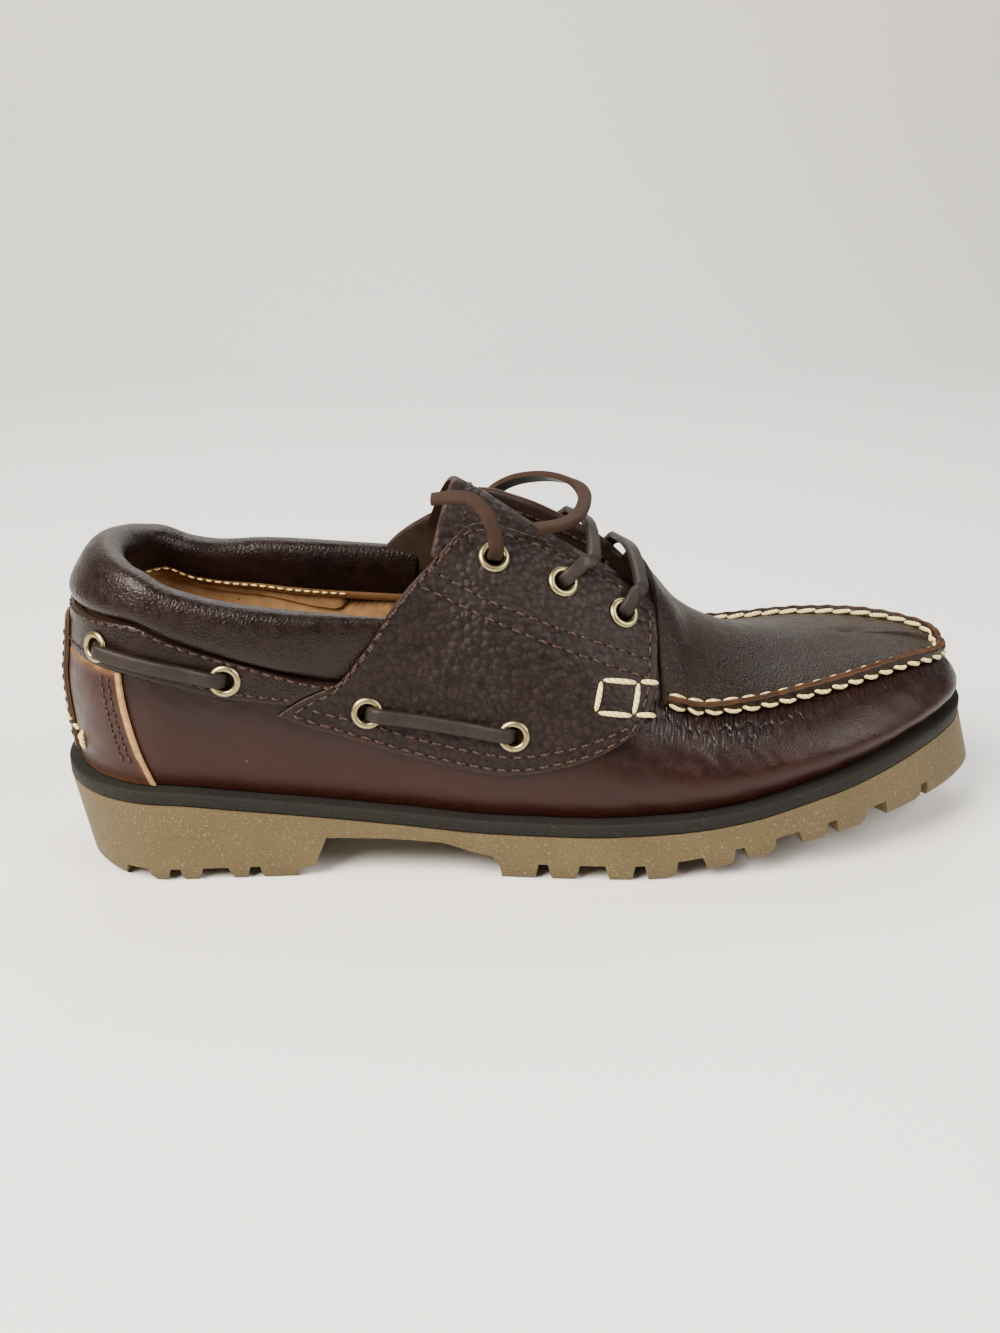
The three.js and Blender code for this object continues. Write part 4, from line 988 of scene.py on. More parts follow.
# %% Footbed
bed_ring = skin(sole_angles, 0.0)
footbed = plate("footbed", [
    drawn_in(bed_ring, wall + 2 * gap),
    drawn_in(bed_ring, wall + 3 * gap) + (0, 0, insole_thickness * 0.7),
    drawn_in(bed_ring, wall + 5 * gap) + (0, 0, insole_thickness),
    drawn_in(bed_ring, wall + 6) + (0, 0, insole_thickness * 0.8),
], [lining_leather], sharp=60)
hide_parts("insole")
print("footbed faces:", len(footbed.data.polygons))

# %% [markdown]
# ## Eyelet holes
# Every layer of leather is punched where an eyelet goes through. The punches are one joined mesh
# of short cylinders, and each piece is cut with it once.

# %% Punches
eyelet_places = [seat(a, r, side) for side in (LATERAL, MEDIAL)
                 for a, r in [*zip(facing_eyelets["along"], facing_eyelets["row"]),
                              *zip(side_eyelets["along"], side_eyelets["row"])]]


def square_to(normal):
    """Two directions square to a normal."""
    first = unit(np.cross(normal, (0, 0, 1) if abs(normal[2]) < 0.9 else (1, 0, 0)))
    return first, np.cross(normal, first)


punch_radius, punch_reach = eyelet_hole + eyelet_wall + gap / 2, 9
turns = np.linspace(0, 2 * np.pi, 24, endpoint=False)
punch_outline = [(math.cos(a) * punch_radius, math.sin(a) * punch_radius) for a in turns]
punches = [prism(punch_outline, place, (*square_to(normal), normal), -punch_reach, punch_reach)
           for place, normal in eyelet_places]
print("eyelets:", len(punches))

# %% [markdown]
# ## The upper
# One hide wraps the foot from the sole up to the collar, the facing and the ridge of the toe. Sewing
# it to the apron gathers it, so short pleats hang from the moccasin seam. They could be sculpted, but
# then they couldn't be made again for another size. So each pleat is a soft trough with its own place,
# length and depth, drawn from a fixed seed, and the long bends at the ball of the foot are listed one by
# one.


# %% Nets round the last
def steps_between(marks, counts):
    """Values evenly spaced between marks."""
    parts = [np.linspace(a, b, n, endpoint=False) for a, b, n in zip(marks, marks[1:], counts)]
    return np.concatenate([*parts, marks[-1:]])


def angle_steps(corners, counts):
    """Angles on the outer side, evenly spaced between shares along the shoe."""
    return steps_between([float(angle_at(c, LATERAL)) for c in corners], counts)


def both_sides(one_side):
    return np.r_[one_side, 2 * np.pi - one_side[-2:0:-1]]


def leather_cells(angle, row):
    """Which cells of a net round the last are leather: up to row 3, and above it ahead of the throat."""
    along = along_of(np.hstack([angle, angle[:, :1]]))
    in_front = np.minimum(along[:-1, :-1], along[:-1, 1:]) > throat_start - 1e-6
    return ((row[:-1] + row[1:]) / 2 < 3) | in_front


def run_of(points, axis):
    """The way walked along an axis of a net, in millimetres."""
    steps = np.linalg.norm(np.diff(points, axis=axis), axis=-1)
    start = np.zeros_like(np.take(steps, [0], axis=axis))
    return np.concatenate([start, np.cumsum(steps, axis=axis)], axis=axis)


# %% Pleats under the moccasin seam
random = np.random.default_rng(7)
upper_angles = both_sides(angle_steps([0, collar_end, 0.445, throat_start, 0.75, 1], [36, 18, 30, 66, 170]))
upper_rows = steps_between([0, 1, 2, 2.14, 3, 4], [9, 22, 4, 10, 6])
net_angle, net_row = np.meshgrid(upper_angles, upper_rows)
net_along = along_of(net_angle)
upper_base = skin(net_angle, net_row)
seam_index = int(np.argmin(np.abs(upper_rows - 2)))
seam_run = run_of(upper_base[seam_index], 0)
row_run = run_of(upper_base, 0)
under_seam = row_run[seam_index] - row_run


def seam_at(along, side):
    return float(np.interp(angle_at(along, side), upper_angles, seam_run))


pleats = []
for side, first, last in ((LATERAL, 0.625, 1.0), (MEDIAL, 1.0, 0.64)):
    at, end = seam_at(first, side), seam_at(last, side)
    while at < end:
        along = along_of(np.interp(at, seam_run, upper_angles))
        strong = 1 - float(smooth((along - 0.66) / 0.26))
        reach = 6.5 + 9 * strong * random.uniform(0.6, 1.1)
        depth = 0.26 + 0.3 * strong * random.uniform(0.5, 1)
        width, lean, phase = random.uniform(0.42, 0.7), random.uniform(-0.12, 0.12), random.uniform(0, 6)
        pleats.append((at, reach, depth, width, lean, phase))
        at += random.uniform(2.2, 4.0)

crease = np.zeros_like(under_seam)
for at, reach, depth, width, lean, phase in pleats:
    aside = seam_run[None, :] - at - lean * under_seam - 0.35 * np.sin(under_seam * 0.9 + phase)
    fade = smooth((reach - under_seam) / (0.6 * reach)) * smooth(under_seam / 0.8 + 0.3)
    crease -= depth * np.exp(-(aside / width) ** 2) * fade * (under_seam > -0.5)
# how much the hide is gathered: strongest behind the seam's bend, half as strong round the toe
reach = 15 - 6 * smooth((net_along - 0.72) / 0.15)
gather = smooth((net_along - 0.575) / 0.05) * (1 - 0.5 * smooth((net_along - 0.7) / 0.15))
gather = gather * (1 - smooth((under_seam - 0.35 * reach) / (0.65 * reach))) * (under_seam > -0.6)
print("pleats:", len(pleats))

# %% Bends listed one by one
# start and end of each trough as share along the shoe and row, then depth and half width in mm
bends = [
    (0.66, 1.62, 0.70, 1.02, 0.35, 1.6), (0.69, 1.7, 0.735, 1.15, 0.3, 1.4),
    (0.725, 1.5, 0.75, 1.0, 0.22, 1.5), (0.64, 1.3, 0.71, 0.9, 0.25, 2.0),
    (0.5, 0.75, 0.6, 0.6, 0.2, 2.6), (0.33, 0.9, 0.45, 0.72, 0.18, 2.4),
    (0.2, 1.35, 0.3, 1.1, 0.2, 2.2), (0.13, 0.8, 0.2, 1.2, 0.16, 2.0),
]
share = np.linspace(0, 1, 14)
for side in (LATERAL, MEDIAL):
    for a0, r0, a1, r1, depth, width in bends:
        rows = r0 + (r1 - r0) * share + 0.06 * np.sin(share * 5)
        line = skin(angle_at(a0 + (a1 - a0) * share, side), rows)
        away = np.linalg.norm(upper_base[:, :, None] - line, axis=-1)
        nearest = away.argmin(-1)
        fade = np.sin(np.pi * np.clip(nearest / 13, 0.02, 0.98)) ** 0.7
        crease -= depth * np.exp(-(away.min(-1) / width) ** 2) * fade
# and a slight unevenness, as hide has
crease += 0.12 * np.sin(net_angle * 37 + net_row * 5) * np.sin(net_row * 4 + net_angle * 11) * (net_row < 2)
print("deepest crease:", round(float(-crease.min()), 2), "mm")

# %% Upper
upper_thick = 1.2
# the deeper a crease, the more painted shade the hide gets
upper_values = {
    "rise": net_row, "painted_shade": np.clip((-crease - 0.08) / 0.4, 0, 0.75), "gather": gather,
    "under_seam": under_seam, "seam_run": np.broadcast_to(seam_run, net_row.shape),
}
upper_normal = ridge_joined(skin_normal(net_angle, net_row), True)
upper = slab("upper_tub", upper_base + upper_normal * crease[..., None],
             upper_base - upper_normal * upper_thick, [tub_leather, inked_edge, flesh_leather],
             upper_values, keep=leather_cells(net_angle, net_row), wrap=True)
cut_away(upper, "upper_punches", punches)
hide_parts("upper")
print("upper faces:", len(upper.data.polygons))

# %% [markdown]
# ## The lining
# Undyed tan calf lines the quarters. It goes up inside the collar, which hides its top edge, and at the
# facings it ends at their edge. A second skin made by a solidify modifier would be as thick everywhere;
# a slab of its own, from the same skin, can lean inward under the collar and keep clear of the upper.
# Ahead of the collar it is hardly lit, so a net of values on the mesh paints shade into it there.

# %% Lining
lining_angles = both_sides(angle_steps([0, collar_end, 0.445, throat_start, 1], [40, 20, 24, 30]))
lining_near, lining_far, lining_tuck = 1.25, 2.1, 1.9  # its two faces under the skin, and its lean inward
lining_rows = steps_between([0, 2, 3, 4], [12, 26, 4])
line_angle, line_row = np.meshgrid(lining_angles, lining_rows)
line_along = along_of(line_angle)
line_base, line_normal = skin(line_angle, line_row), ridge_joined(skin_normal(line_angle, line_row), True)


def tuck(row):
    """How far the lining leans inward under the collar, as a share, from row 2.75 up."""
    return smooth((row - 2.75) / 0.22)


by_collar = 1 - smooth((line_along - 0.3) / 0.04)
inward = lining_tuck * (by_collar * tuck(line_row) * (line_row < 3.01))
line_lift = np.zeros(line_base.shape)
line_lift[..., 2] = (2.2 + 4 * smooth((line_along - 0.16) / 0.06)) * by_collar
line_lift[..., 2] *= smooth((line_row - 2.88) / 0.12) * (line_row <= 3.01)
slack = 0.12 * np.sin(line_angle * 19 + line_row * 3) * np.sin(line_row * 7 + line_angle * 5)
half_way = midsole_top(0.3) + 0.5 * instep_height
# painted shade on the lining high up inside the shoe, ahead of the collar
dark = smooth((line_base[..., 2] - half_way) / 1.5) * smooth((line_along - 0.28) / 0.02)
line_base = line_base + line_lift
lining = slab("lining", line_base - line_normal * (lining_far + inward + slack)[..., None],
              line_base - line_normal * (lining_near + inward)[..., None],
              [lining_leather, raw_edge, flesh_leather], {"painted_shade": 0.93 * dark},
              keep=leather_cells(line_angle, line_row), wrap=True)
cut_away(lining, "lining_punches", [punches[k] for k in (0, 1, 2, 7, 8, 9)])
print("lining faces:", len(lining.data.polygons))

# %% [markdown]
# ## The apron and its raised lip
# The apron lies inside the moccasin seam. Its edge and the edge of the tub are turned up together
# and sewn, so a lip stands up with two raw edges on top. A curve with a bevel could make the lip
# alone, but here it runs over into the apron without a joint: its section is drawn in millimetres from
# the seam, as distance and height, then swept round the toe. Each stitch pulls it in a little.

# %% Apron
seam_stitch = 6.1  # one hand stitch of the moccasin seam
lip_section = [(0, 0.0), (-0.15, 1.2), (-0.15, 2.6), (0.05, 3.7), (0.3, 4.25), (0.75, lip_height),
               (1.15, 4.3), (1.35, 4.1), (1.6, 4.35), (2.0, lip_height), (2.4, 4.2), (2.65, 3.6),
               (2.75, 2.7), (2.95, 2.0), (3.5, 1.6), (4.5, 1.5), (6.0, 1.6)]
apron_half = angle_steps([0.631, 0.75, 1], [44, 110])
apron_angles = np.r_[apron_half, 2 * np.pi - apron_half[-2::-1]]
fine_rows = np.linspace(2, 4, 81)
fine_run = run_of(skin(apron_angles[None, :], fine_rows[:, None]), 0)
inner_rows = np.linspace(0, 1, 26)[1:]
apron_row, apron_high = [], []
for column in range(len(apron_angles)):
    at = np.interp([max(0, d) for d, _ in lip_section], fine_run[:, column], fine_rows)
    apron_row.append(np.r_[at, at[-1] + (4 - at[-1]) * inner_rows])
    apron_high.append(np.r_[[h for _, h in lip_section], np.full(len(inner_rows), plug_thickness)])
apron_row, apron_high = np.array(apron_row).T, np.array(apron_high).T
apron_angle = np.broadcast_to(apron_angles, apron_row.shape)
apron_base = skin(apron_angle, apron_row)
apron_normal = ridge_joined(skin_normal(apron_angle, apron_row), False)
outward = -unit(skin(apron_angle, apron_row + 0.02) - apron_base)
over = np.zeros(apron_row.shape)
over[:len(lip_section)] = np.maximum(0, -np.array([d for d, _ in lip_section]))[:, None]
lip_run = run_of(apron_base[0], 0)
scallop = 0.16 * np.cos(lip_run / seam_stitch * 2 * np.pi)
lip_part = np.array([1 if 1.5 < h else 0 for _, h in lip_section] + [0] * len(inner_rows))[:, None]
wave = lip_part * scallop + 0.1 * lip_part * np.sin(lip_run * 0.37) * np.cos(lip_run * 0.21)
apron_top = apron_base + apron_normal * (gap + apron_high + wave)[..., None] + outward * over[..., None]
apron_bottom = apron_base + apron_normal * gap
heights = [high for _, high in lip_section]
lip_top = [3 if min(high, after) > 3.9 else 0 for high, after in zip(heights, heights[1:])]
lip_top = np.array(lip_top + [0] * len(inner_rows))
apron = slab("apron", apron_top, apron_bottom, [plug_leather, inked_edge, flesh_leather, raw_edge],
             face_kind=np.repeat(lip_top[:, None], len(apron_angles) - 1, 1))
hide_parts("plug")
print("apron faces:", len(apron.data.polygons))

# %% [markdown]
# ## Panels sewn over the upper
# Saddle, band, counter and heel strip are cut from flat hide and sewn on. Each is a patch between
# four borders drawn on the skin. Its nets stand close together near the borders, so the cut edge
# can be rounded over, and the distance to the border tells the material where the edge is rubbed.


# %% Patches
def drawn(places, side, count):
    """Angles and rows of a smooth line through places in mm of the side view."""
    line = smooth_line([(x, z, 0) for x, z in places], np.linspace(0, 1, count))
    angle, row = place_at(line[:, 0], line[:, 1], side)
    return np.stack([np.where(angle > np.pi, angle - 2 * np.pi, angle) if side > 0 else angle, row], -1)


def on_side(points, side, count):
    """The same through places given as shares along the shoe and of the height of the instep."""
    places = [(along_x(a), midsole_top(a) + gap + instep_height * up) for a, up in points]
    return drawn(places, side, count)


def near_ends(length, step):
    """Shares along a border of this length, closer together near both ends."""
    close = [0, 0.2, 0.45, 0.75, 1.1]
    middle = np.linspace(1.6, length - 1.6, max(3, int(length / step)))
    return np.r_[close, middle, length - np.array(close[::-1])] / length


def resampled(border, shares):
    points = skin(border[:, 0], border[:, 1])
    run = run_of(points, 0)
    return np.stack([np.interp(shares * run[-1], run, column) for column in border.T], -1), run[-1]


def patch(left, right, bottom, top, step=1.2):
    """Angles and rows of a net between four borders; left and right run upward, the others to the right."""
    across = near_ends(resampled(bottom, np.array([0]))[1], step)
    upward = near_ends(resampled(left, np.array([0]))[1], step)
    left, right = (resampled(b, upward)[0][:, None] for b in (left, right))
    bottom, top = (resampled(b, across)[0][None] for b in (bottom, top))
    u, v = across[None, :, None], upward[:, None, None]
    corners = (1 - u) * (1 - v) * bottom[:, :1] + u * (1 - v) * bottom[:, -1:]
    corners = corners + (1 - u) * v * top[:, :1] + u * v * top[:, -1:]
    net = (1 - v) * bottom + v * top + (1 - u) * left + u * right - corners
    return net[..., 0], net[..., 1]


def level_line(start, end, row, count):
    """A line of evenly spaced angles on one row."""
    return np.stack([np.linspace(start, end, count), np.full(count, float(row))], -1)


def level_patch(near, far, foot_row, head_row, count, step=1.2):
    """A patch from one end to the other round the heel, with its foot and its head on a row each."""
    foot = level_line(near[0, 0], far[0, 0], foot_row, count)
    head = level_line(near[-1, 0], far[-1, 0], head_row, count)
    return patch(near, far, foot, head, step)


def from_border(points):
    """How far each point of a net is from the nearest border."""
    runs = [run_of(points, axis) for axis in (0, 1)]
    ends = [np.take(run, [-1], axis=axis) for axis, run in enumerate(runs)]
    return np.minimum.reduce([runs[0], ends[0] - runs[0], runs[1], ends[1] - runs[1]])


def panel(name, net, materials, low=panel_low, high=panel_high, punched=False, pale_ends=0.0):
    """A piece of hide on the skin with rolled edges; pale_ends is the width of bare hide at its ends."""
    base, normal = skin(*net), skin_normal(*net)
    near = from_border(base)
    rolled = 0.6 * (1 - np.sqrt(1 - np.clip(1 - near / 0.9, 0, 1) ** 2))
    height = high - rolled
    ends = run_of(base, 1)
    bare = np.minimum(ends, ends[:, -1:] - ends) < pale_ends
    made = slab(name, base + normal * height[..., None], base + normal * low, materials,
                {"wear": 0.8 * np.exp(-near / 0.8)}, face_kind=bare[:-1, :-1] & bare[1:, 1:])
    if punched:
        cut_away(made, name + "_punches", punches)
    return made


# %% Saddle
saddle_rear = [(0.405, 0.905), (0.358, 0.759), (0.33, 0.611), (0.3, 0.478), (0.262, 0.397), (0.236, 0.327)]
saddle_low = [(0.236, 0.327), (0.27, 0.295), (0.32, 0.258), (0.38, 0.213), (0.46, 0.18), (0.522, 0.212),
              (0.562, 0.258), (0.596, 0.31)]
saddle_front = [(0.596, 0.31), (0.614, 0.372), (0.624, 0.451), (0.63, 0.59)]


def saddle_net(side):
    rear = on_side(saddle_rear, side, 160)[::-1]
    rear = rear[rear[:, 1] < 2.995]
    rear = np.concatenate([rear[:-1], [[rear[-1, 0], 3.0]]])
    low = on_side(saddle_low, side, 80)
    turn_up = on_side(saddle_front, side, 30)
    end_angle = turn_up[-1, 0]
    climb = np.stack([np.full(30, end_angle), np.linspace(turn_up[-1, 1], 3, 30)], -1)
    front = np.concatenate([turn_up, climb[1:]])
    return patch(rear, front, low, level_line(rear[-1, 0], end_angle, 3, 160))


saddle_nets = {side: saddle_net(side) for side in (LATERAL, MEDIAL)}
for side, word in ((LATERAL, "lateral"), (MEDIAL, "medial")):
    made = panel("saddle_panel_" + word, saddle_nets[side], [pebbled_leather, inked_edge, flesh_leather],
                 punched=True)
    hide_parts("saddle_" + word)
    print(made.name, "faces:", len(made.data.polygons))

# %% Band
behind_saddle = [(a - 2 * gap / last_length, up) for a, up in saddle_rear]


def band_end(side):
    end = on_side(behind_saddle, side, 120)[::-1]
    kept = end[(end[:, 1] >= 2.03) & (end[:, 1] < 2.995)]
    return np.concatenate([[[kept[0, 0], 2.035]], kept[1:-1], [[kept[-1, 0], 3.0]]])


near_end, far_end = band_end(LATERAL), band_end(MEDIAL)
foot_angle = np.linspace(near_end[0, 0], far_end[0, 0], 120)
band_foot = np.stack([foot_angle, 2 + 0.035 + 0.105 * smooth((along_of(foot_angle) - 0.3) / 0.3)], -1)
band_net = patch(near_end, far_end, band_foot, level_line(near_end[-1, 0], far_end[-1, 0], 3, 120))
band = panel("collar_band", band_net, [collar_leather, inked_edge, flesh_leather], punched=True)
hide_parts("band")
print("band faces:", len(band.data.polygons))

# %% Counter
counter_front = [(0.082, 0.43), (0.083, 0.365), (0.087, 0.255), (0.095, 0.125), (0.107, 0.0)]


def counter_end(side):
    end = on_side(counter_front, side, 40)[::-1]
    end[:, 1] = np.clip(end[:, 1], 0, 2)
    end[0, 1], end[-1, 1] = 0.0, 2.0
    return end


counter_net = level_patch(counter_end(LATERAL), counter_end(MEDIAL), 0, 2, 60)
counter = panel("heel_counter", counter_net, [tub_leather, pale_edge, flesh_leather], pale_ends=1.5)
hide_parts("counter")
print("counter faces:", len(counter.data.polygons))

# %% Heel strip
strip_foot = midsole_top(0) + 0.045 * instep_height
strip_head = midsole_top(0) + 0.54 * instep_height
row_table = np.linspace(0, 3, 301)
heel_line = skin(np.zeros(301), row_table)
strip_rows = np.interp(np.linspace(strip_foot, strip_head, 40), heel_line[:, 2], row_table)


def strip_edge(side):
    edge = []
    for row, half in zip(strip_rows, np.linspace(0.5, 0.42, 40) * strip_width):
        angles = np.linspace(0, 0.9, 200)
        reach = np.abs(skin(-side * angles, np.full(200, row))[:, 1])
        edge.append((-side * np.interp(half, reach, angles), row))
    return np.array(edge)


strip_net = level_patch(strip_edge(LATERAL), strip_edge(MEDIAL), strip_rows[0], strip_rows[-1], 40, 0.8)
strip_low, strip_high = panel_high + gap, panel_high + gap + panel_thickness
strip = panel("heel_strip_panel", strip_net, [collar_leather, raw_edge, flesh_leather], strip_low,
              strip_high)
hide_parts("heel_strip")
print("heel strip faces:", len(strip.data.polygons))

# %% [markdown]
# ## The padded collar
# A tube of soft leather filled with foam runs round the ankle. A cloth simulation could puff it up, but
# the real roll is tight and smooth, so it is lofted through oval sections that follow the rim. The
# sections lean inward and are fullest at the back of the heel. At its front ends the roll grows thin
# and goes under the facings.

# %% Collar
collar_table = columns(table(["along", "rise", "lean", "depth"], [
    [0, 0.95, 11, 1.15], [0.04, 0.89, 8, 1.1], [0.09, 0.8, 4, 1.02], [0.15, 0.84, 2, 1],
    [0.22, 0.95, 1.5, 0.95], [0.29, 1.02, 1.5, 0.85],
]))
collar_sides, collar_steps = 40, 260
collar_reach = np.linspace(-1, 1, collar_steps)
collar_angles = collar_reach * float(angle_at(collar_end, LATERAL))
collar_along = along_of(collar_angles)
foot_points = skin(collar_angles, np.full(collar_steps, 3.0))
away = unit(skin_normal(collar_angles, np.full(collar_steps, 2.97)) * (1, 1, 0))
foot_points = foot_points - away * (wall / 2 + collar_set_in) + (0, 0, 2 * gap)
inner_side = np.where(collar_angles < 0, 1.0, 0.0)
rise = collar_rise * collar_table["rise"](collar_along)
rise = rise + 1.5 * inner_side * smooth((collar_along - 0.15) / 0.1)
half_up = (-away * collar_table["lean"](collar_along)[:, None] + rise[:, None] * np.array([0, 0, 1])) / 2
half_out = np.stack([away[:, 0] * half_up[:, 2], away[:, 1] * half_up[:, 2], -(half_up * away).sum(-1)], -1)
half_out = unit(half_out) * (collar_depth * collar_table["depth"](collar_along) / 2)[:, None]
around = 2 * np.pi * (np.arange(collar_sides) + 0.5) / collar_sides


def bend(value, power=0.8):
    return np.sign(value) * np.abs(value) ** power


# the outer foot of the roll is fuller, because it is sewn down on the band
power = np.where((np.cos(around) > 0) & (np.sin(around) > 0), 0.5, 0.8)
to_end = smooth((np.abs(collar_reach) - 0.87) / 0.13)[:, None]
thinner = np.where(np.sin(around) > 0, 1 - 0.55 * to_end, 1.0)
collar_net = foot_points[:, None] + half_up[:, None] * (1 - bend(np.cos(around), power))[None, :, None]
collar_net = collar_net + half_out[:, None] * (bend(np.sin(around), power) * thinner)[..., None]
shear = collar_slant * smooth((collar_along - 0.2) / (collar_end - 0.2))
collar_net[..., 0] += shear[:, None] * (collar_net[..., 2] - foot_points[:, None, 2])
collar_net[..., 0] += 3.5 * smooth((np.abs(collar_reach) - 0.8) / 0.2)[:, None]
# inside the shoe the foot of the roll runs on under the eyestay
share_up = (1 - bend(np.cos(around))) / 2
collar_net[..., 0] += inner_side[:, None] * to_end * (7 + 16 * (1 - share_up))
last = (collar_steps - 1) * collar_sides
collar_faces = [*net_faces(collar_steps, collar_sides, True), range(collar_sides),
                range(last, last + collar_sides)]
# low on its inner side the roll is faced with the lining's leather
lined = (np.degrees(around) > 294) & (np.degrees(around) < 342)
collar_kinds = [*np.tile(lined.astype(int), collar_steps - 1), 0, 0]
collar = piece("collar_roll", collar_net, collar_faces, [collar_leather, lining_leather], collar_kinds,
               values={"wear": np.zeros(collar_net.shape[:2])}, sharp=60)
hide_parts("collar")
print("collar faces:", len(collar.data.polygons))

# %% [markdown]
# ## The tongue
# A single sheet of pebbled hide, arched under the laces, with its free end standing out of the throat.
# It could be bent from a flat grid with modifiers; a table of its ridge is shorter and can be matched
# to the photograph. Each row gives the share along the shoe, the height of the ridge, how much of the
# free end's length is added, half the width, and how far the sides drop.

# %% Tongue
tongue_rows = np.array([
    [0.712, 0.425, 0, 0.189, 0.105], [0.668, 0.52, 0, 0.207, 0.151], [0.645, 0.605, 0, 0.207, 0.186],
    [0.62, 0.7, 0, 0.207, 0.209], [0.58, 0.795, 0, 0.207, 0.221], [0.52, 0.93, 0, 0.2, 0.24],
    [0.46, 1.075, 0, 0.19, 0.25], [0.44, 1.115, 0, 0.17, 0.24], [0.426, 1.13, 0.1, 0.155, 0.225],
])
a, up, free, half, arch = tongue_rows.T
ridge_up = midsole_top(a) + gap + instep_height * up + tongue_free * free
ridge = np.stack([along_x(a), middle_y(a) + ridge_shift(a), ridge_up], -1)
shares = np.r_[0, np.cumsum(np.linalg.norm(np.diff(ridge, axis=0), axis=1))]
shares = shares / shares[-1]
steps = np.r_[np.linspace(0, 0.985, 90), 0.992, 1]
ridge_fine = np.stack([np.interp(steps, shares, column) for column in ridge.T], -1)
half_fine, arch_fine = np.interp(steps, shares, half), np.interp(steps, shares, arch)
run = unit(np.gradient(ridge_fine, axis=0))
out = np.stack([run[:, 2], np.zeros(len(run)), -run[:, 0]], -1)
across = np.r_[-1, -0.985, -0.96, np.linspace(-0.92, 0.92, 44), 0.96, 0.985, 1]
tongue_top = np.repeat(ridge_fine[:, None], len(across), 1)
tongue_top[..., 1] += across * half_fine[:, None] * ball_width
tongue_top[..., 2] -= arch_fine[:, None] * instep_height * np.abs(across) ** 2.2
# the free end is cut on a slant, longest at its corners
tongue_top[..., 0] -= 7.5 * smooth((steps - 0.8) / 0.2)[:, None] * np.abs(across) ** 1.5
edge_near = from_border(tongue_top)
rolled = 0.7 * (1 - np.sqrt(1 - np.clip(1 - edge_near / 0.9, 0, 1) ** 2))
tongue = slab("tongue_sheet", tongue_top - out[:, None] * rolled[..., None],
              tongue_top - out[:, None] * tongue_thickness, [pebbled_leather, inked_edge, flesh_leather],
              {"wear": 0.5 * np.exp(-edge_near / 0.8)})
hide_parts("tongue")
print("tongue faces:", len(tongue.data.polygons))

# %% [markdown]
# ## Eyelets
# A brass eyelet is a short tube rolled over at its face. Its section is drawn once and turned about
# the hole's own direction; all fourteen are one joined mesh.

# %% Eyelet rings
# distance from the middle of the hole, and height over the leather
ring_section = np.array([
    (2.78, -3.1), (2.8, -0.2), (2.86, 0.2), (3.05, 0.55), (3.4, 0.8), (3.85, 0.86), (4.3, 0.76),
    (4.65, 0.52), (4.9, 0.22), (4.95, 0.08), (4.7, 0.03), (3.45, 0.03), (3.3, -3.1),
])
ring_sides = 48
turns = np.linspace(0, 2 * np.pi, ring_sides, endpoint=False)
ring_points, ring_faces = [], []
for number, (place, normal) in enumerate(eyelet_places):
    first, second = square_to(normal)
    spokes = np.cos(turns)[:, None] * first + np.sin(turns)[:, None] * second
    ring_points.append(place + ring_section[:, None, :1] * spokes + ring_section[:, None, 1:] * normal)
    start = number * len(ring_section) * ring_sides
    ring_faces += [*net_faces(len(ring_section), ring_sides, True, start, True)]
eyelet_rings = piece("eyelet_rings", np.array(ring_points), ring_faces, [aged_brass], sharp=50)
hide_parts(*[f"{kind}eyelet_{side}_{k + 1}" for side in ("lateral", "medial")
                            for kind, many in (("", 3), ("side_", 4)) for k in range(many)])
print("eyelet faces:", len(eyelet_rings.data.polygons))

# %% [markdown]
# ## Laces along the sides and over the tongue
# Between two eyelets the lace comes out of one hole, bends over the rim, lies flat and dives into
# the next. Its path is a smooth line through a few points; its face turns with the bend.


# %% Laces between eyelets
def lace_between(name, node, start, end, middle, steps=70):
    """A lace from hole to hole; middle has points and facings on the way."""
    path, faces = [], []
    for (place, normal), towards in ((start, middle[0][0]), (end, middle[-1][0])):
        t = unit(towards - place - normal * np.dot(towards - place, normal))
        # out of the hole, over the rim and down to the leather: depth or height, and way along
        path.append([place - normal * 3.0 + t * 0.55, place - normal * 0.5 + t * 0.75,
                     place + normal * 1.15 + t * 1.9, place + normal * 2.1 + t * 4.4])
        faces.append([-t, -t, normal * 0.8 - t * 0.6, normal])
    points = [*path[0], *[p for p, _ in middle], *path[1][::-1]]
    facings = [*faces[0], *[f for _, f in middle], *faces[1][::-1]]
    line = smooth_line(points, np.linspace(0, 1, steps))
    run = np.r_[0, np.cumsum(np.linalg.norm(np.diff(np.array(points), axis=0), axis=1))]
    at = np.linspace(0, run[-1], steps)
    facing = np.stack([np.interp(at, run, column) for column in np.array(facings).T], -1)
    made = ribbon(name, line, facing, [lace_leather, flesh_leather])
    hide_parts(node)
    return made


def row_at_height(along, side, z):
    table_rows = np.linspace(0, 3, 200)
    return float(np.interp(z, on_last(along, side, table_rows)[:, 2], table_rows))


for side, word in ((LATERAL, "lateral"), (MEDIAL, "medial")):
    holes = eyelet_places[:7] if side < 0 else eyelet_places[7:]
    for first, end_word in ((3, "rear"), (5, "front")):
        a0, a1 = side_eyelets["along"][first - 3:first - 1]
        rows = side_eyelets["row"][first - 3:first - 1]
        z0, z1 = (float(on_last(a, side, row)[2]) for a, row in zip((a0, a1), rows))
        middle = []
        for share in (0.3, 0.5, 0.7):
            along = a0 + (a1 - a0) * share
            row = row_at_height(along, side, z0 + (z1 - z0) * share)
            where, facing = seat(along, row, side, panel_high + lace_thickness / 2 + 0.55)
            middle.append((where, facing))
        lace_between(f"side_lace_{word}_{end_word}_strip", f"side_lace_{word}_{end_word}",
                     holes[first], holes[first + 1], middle)

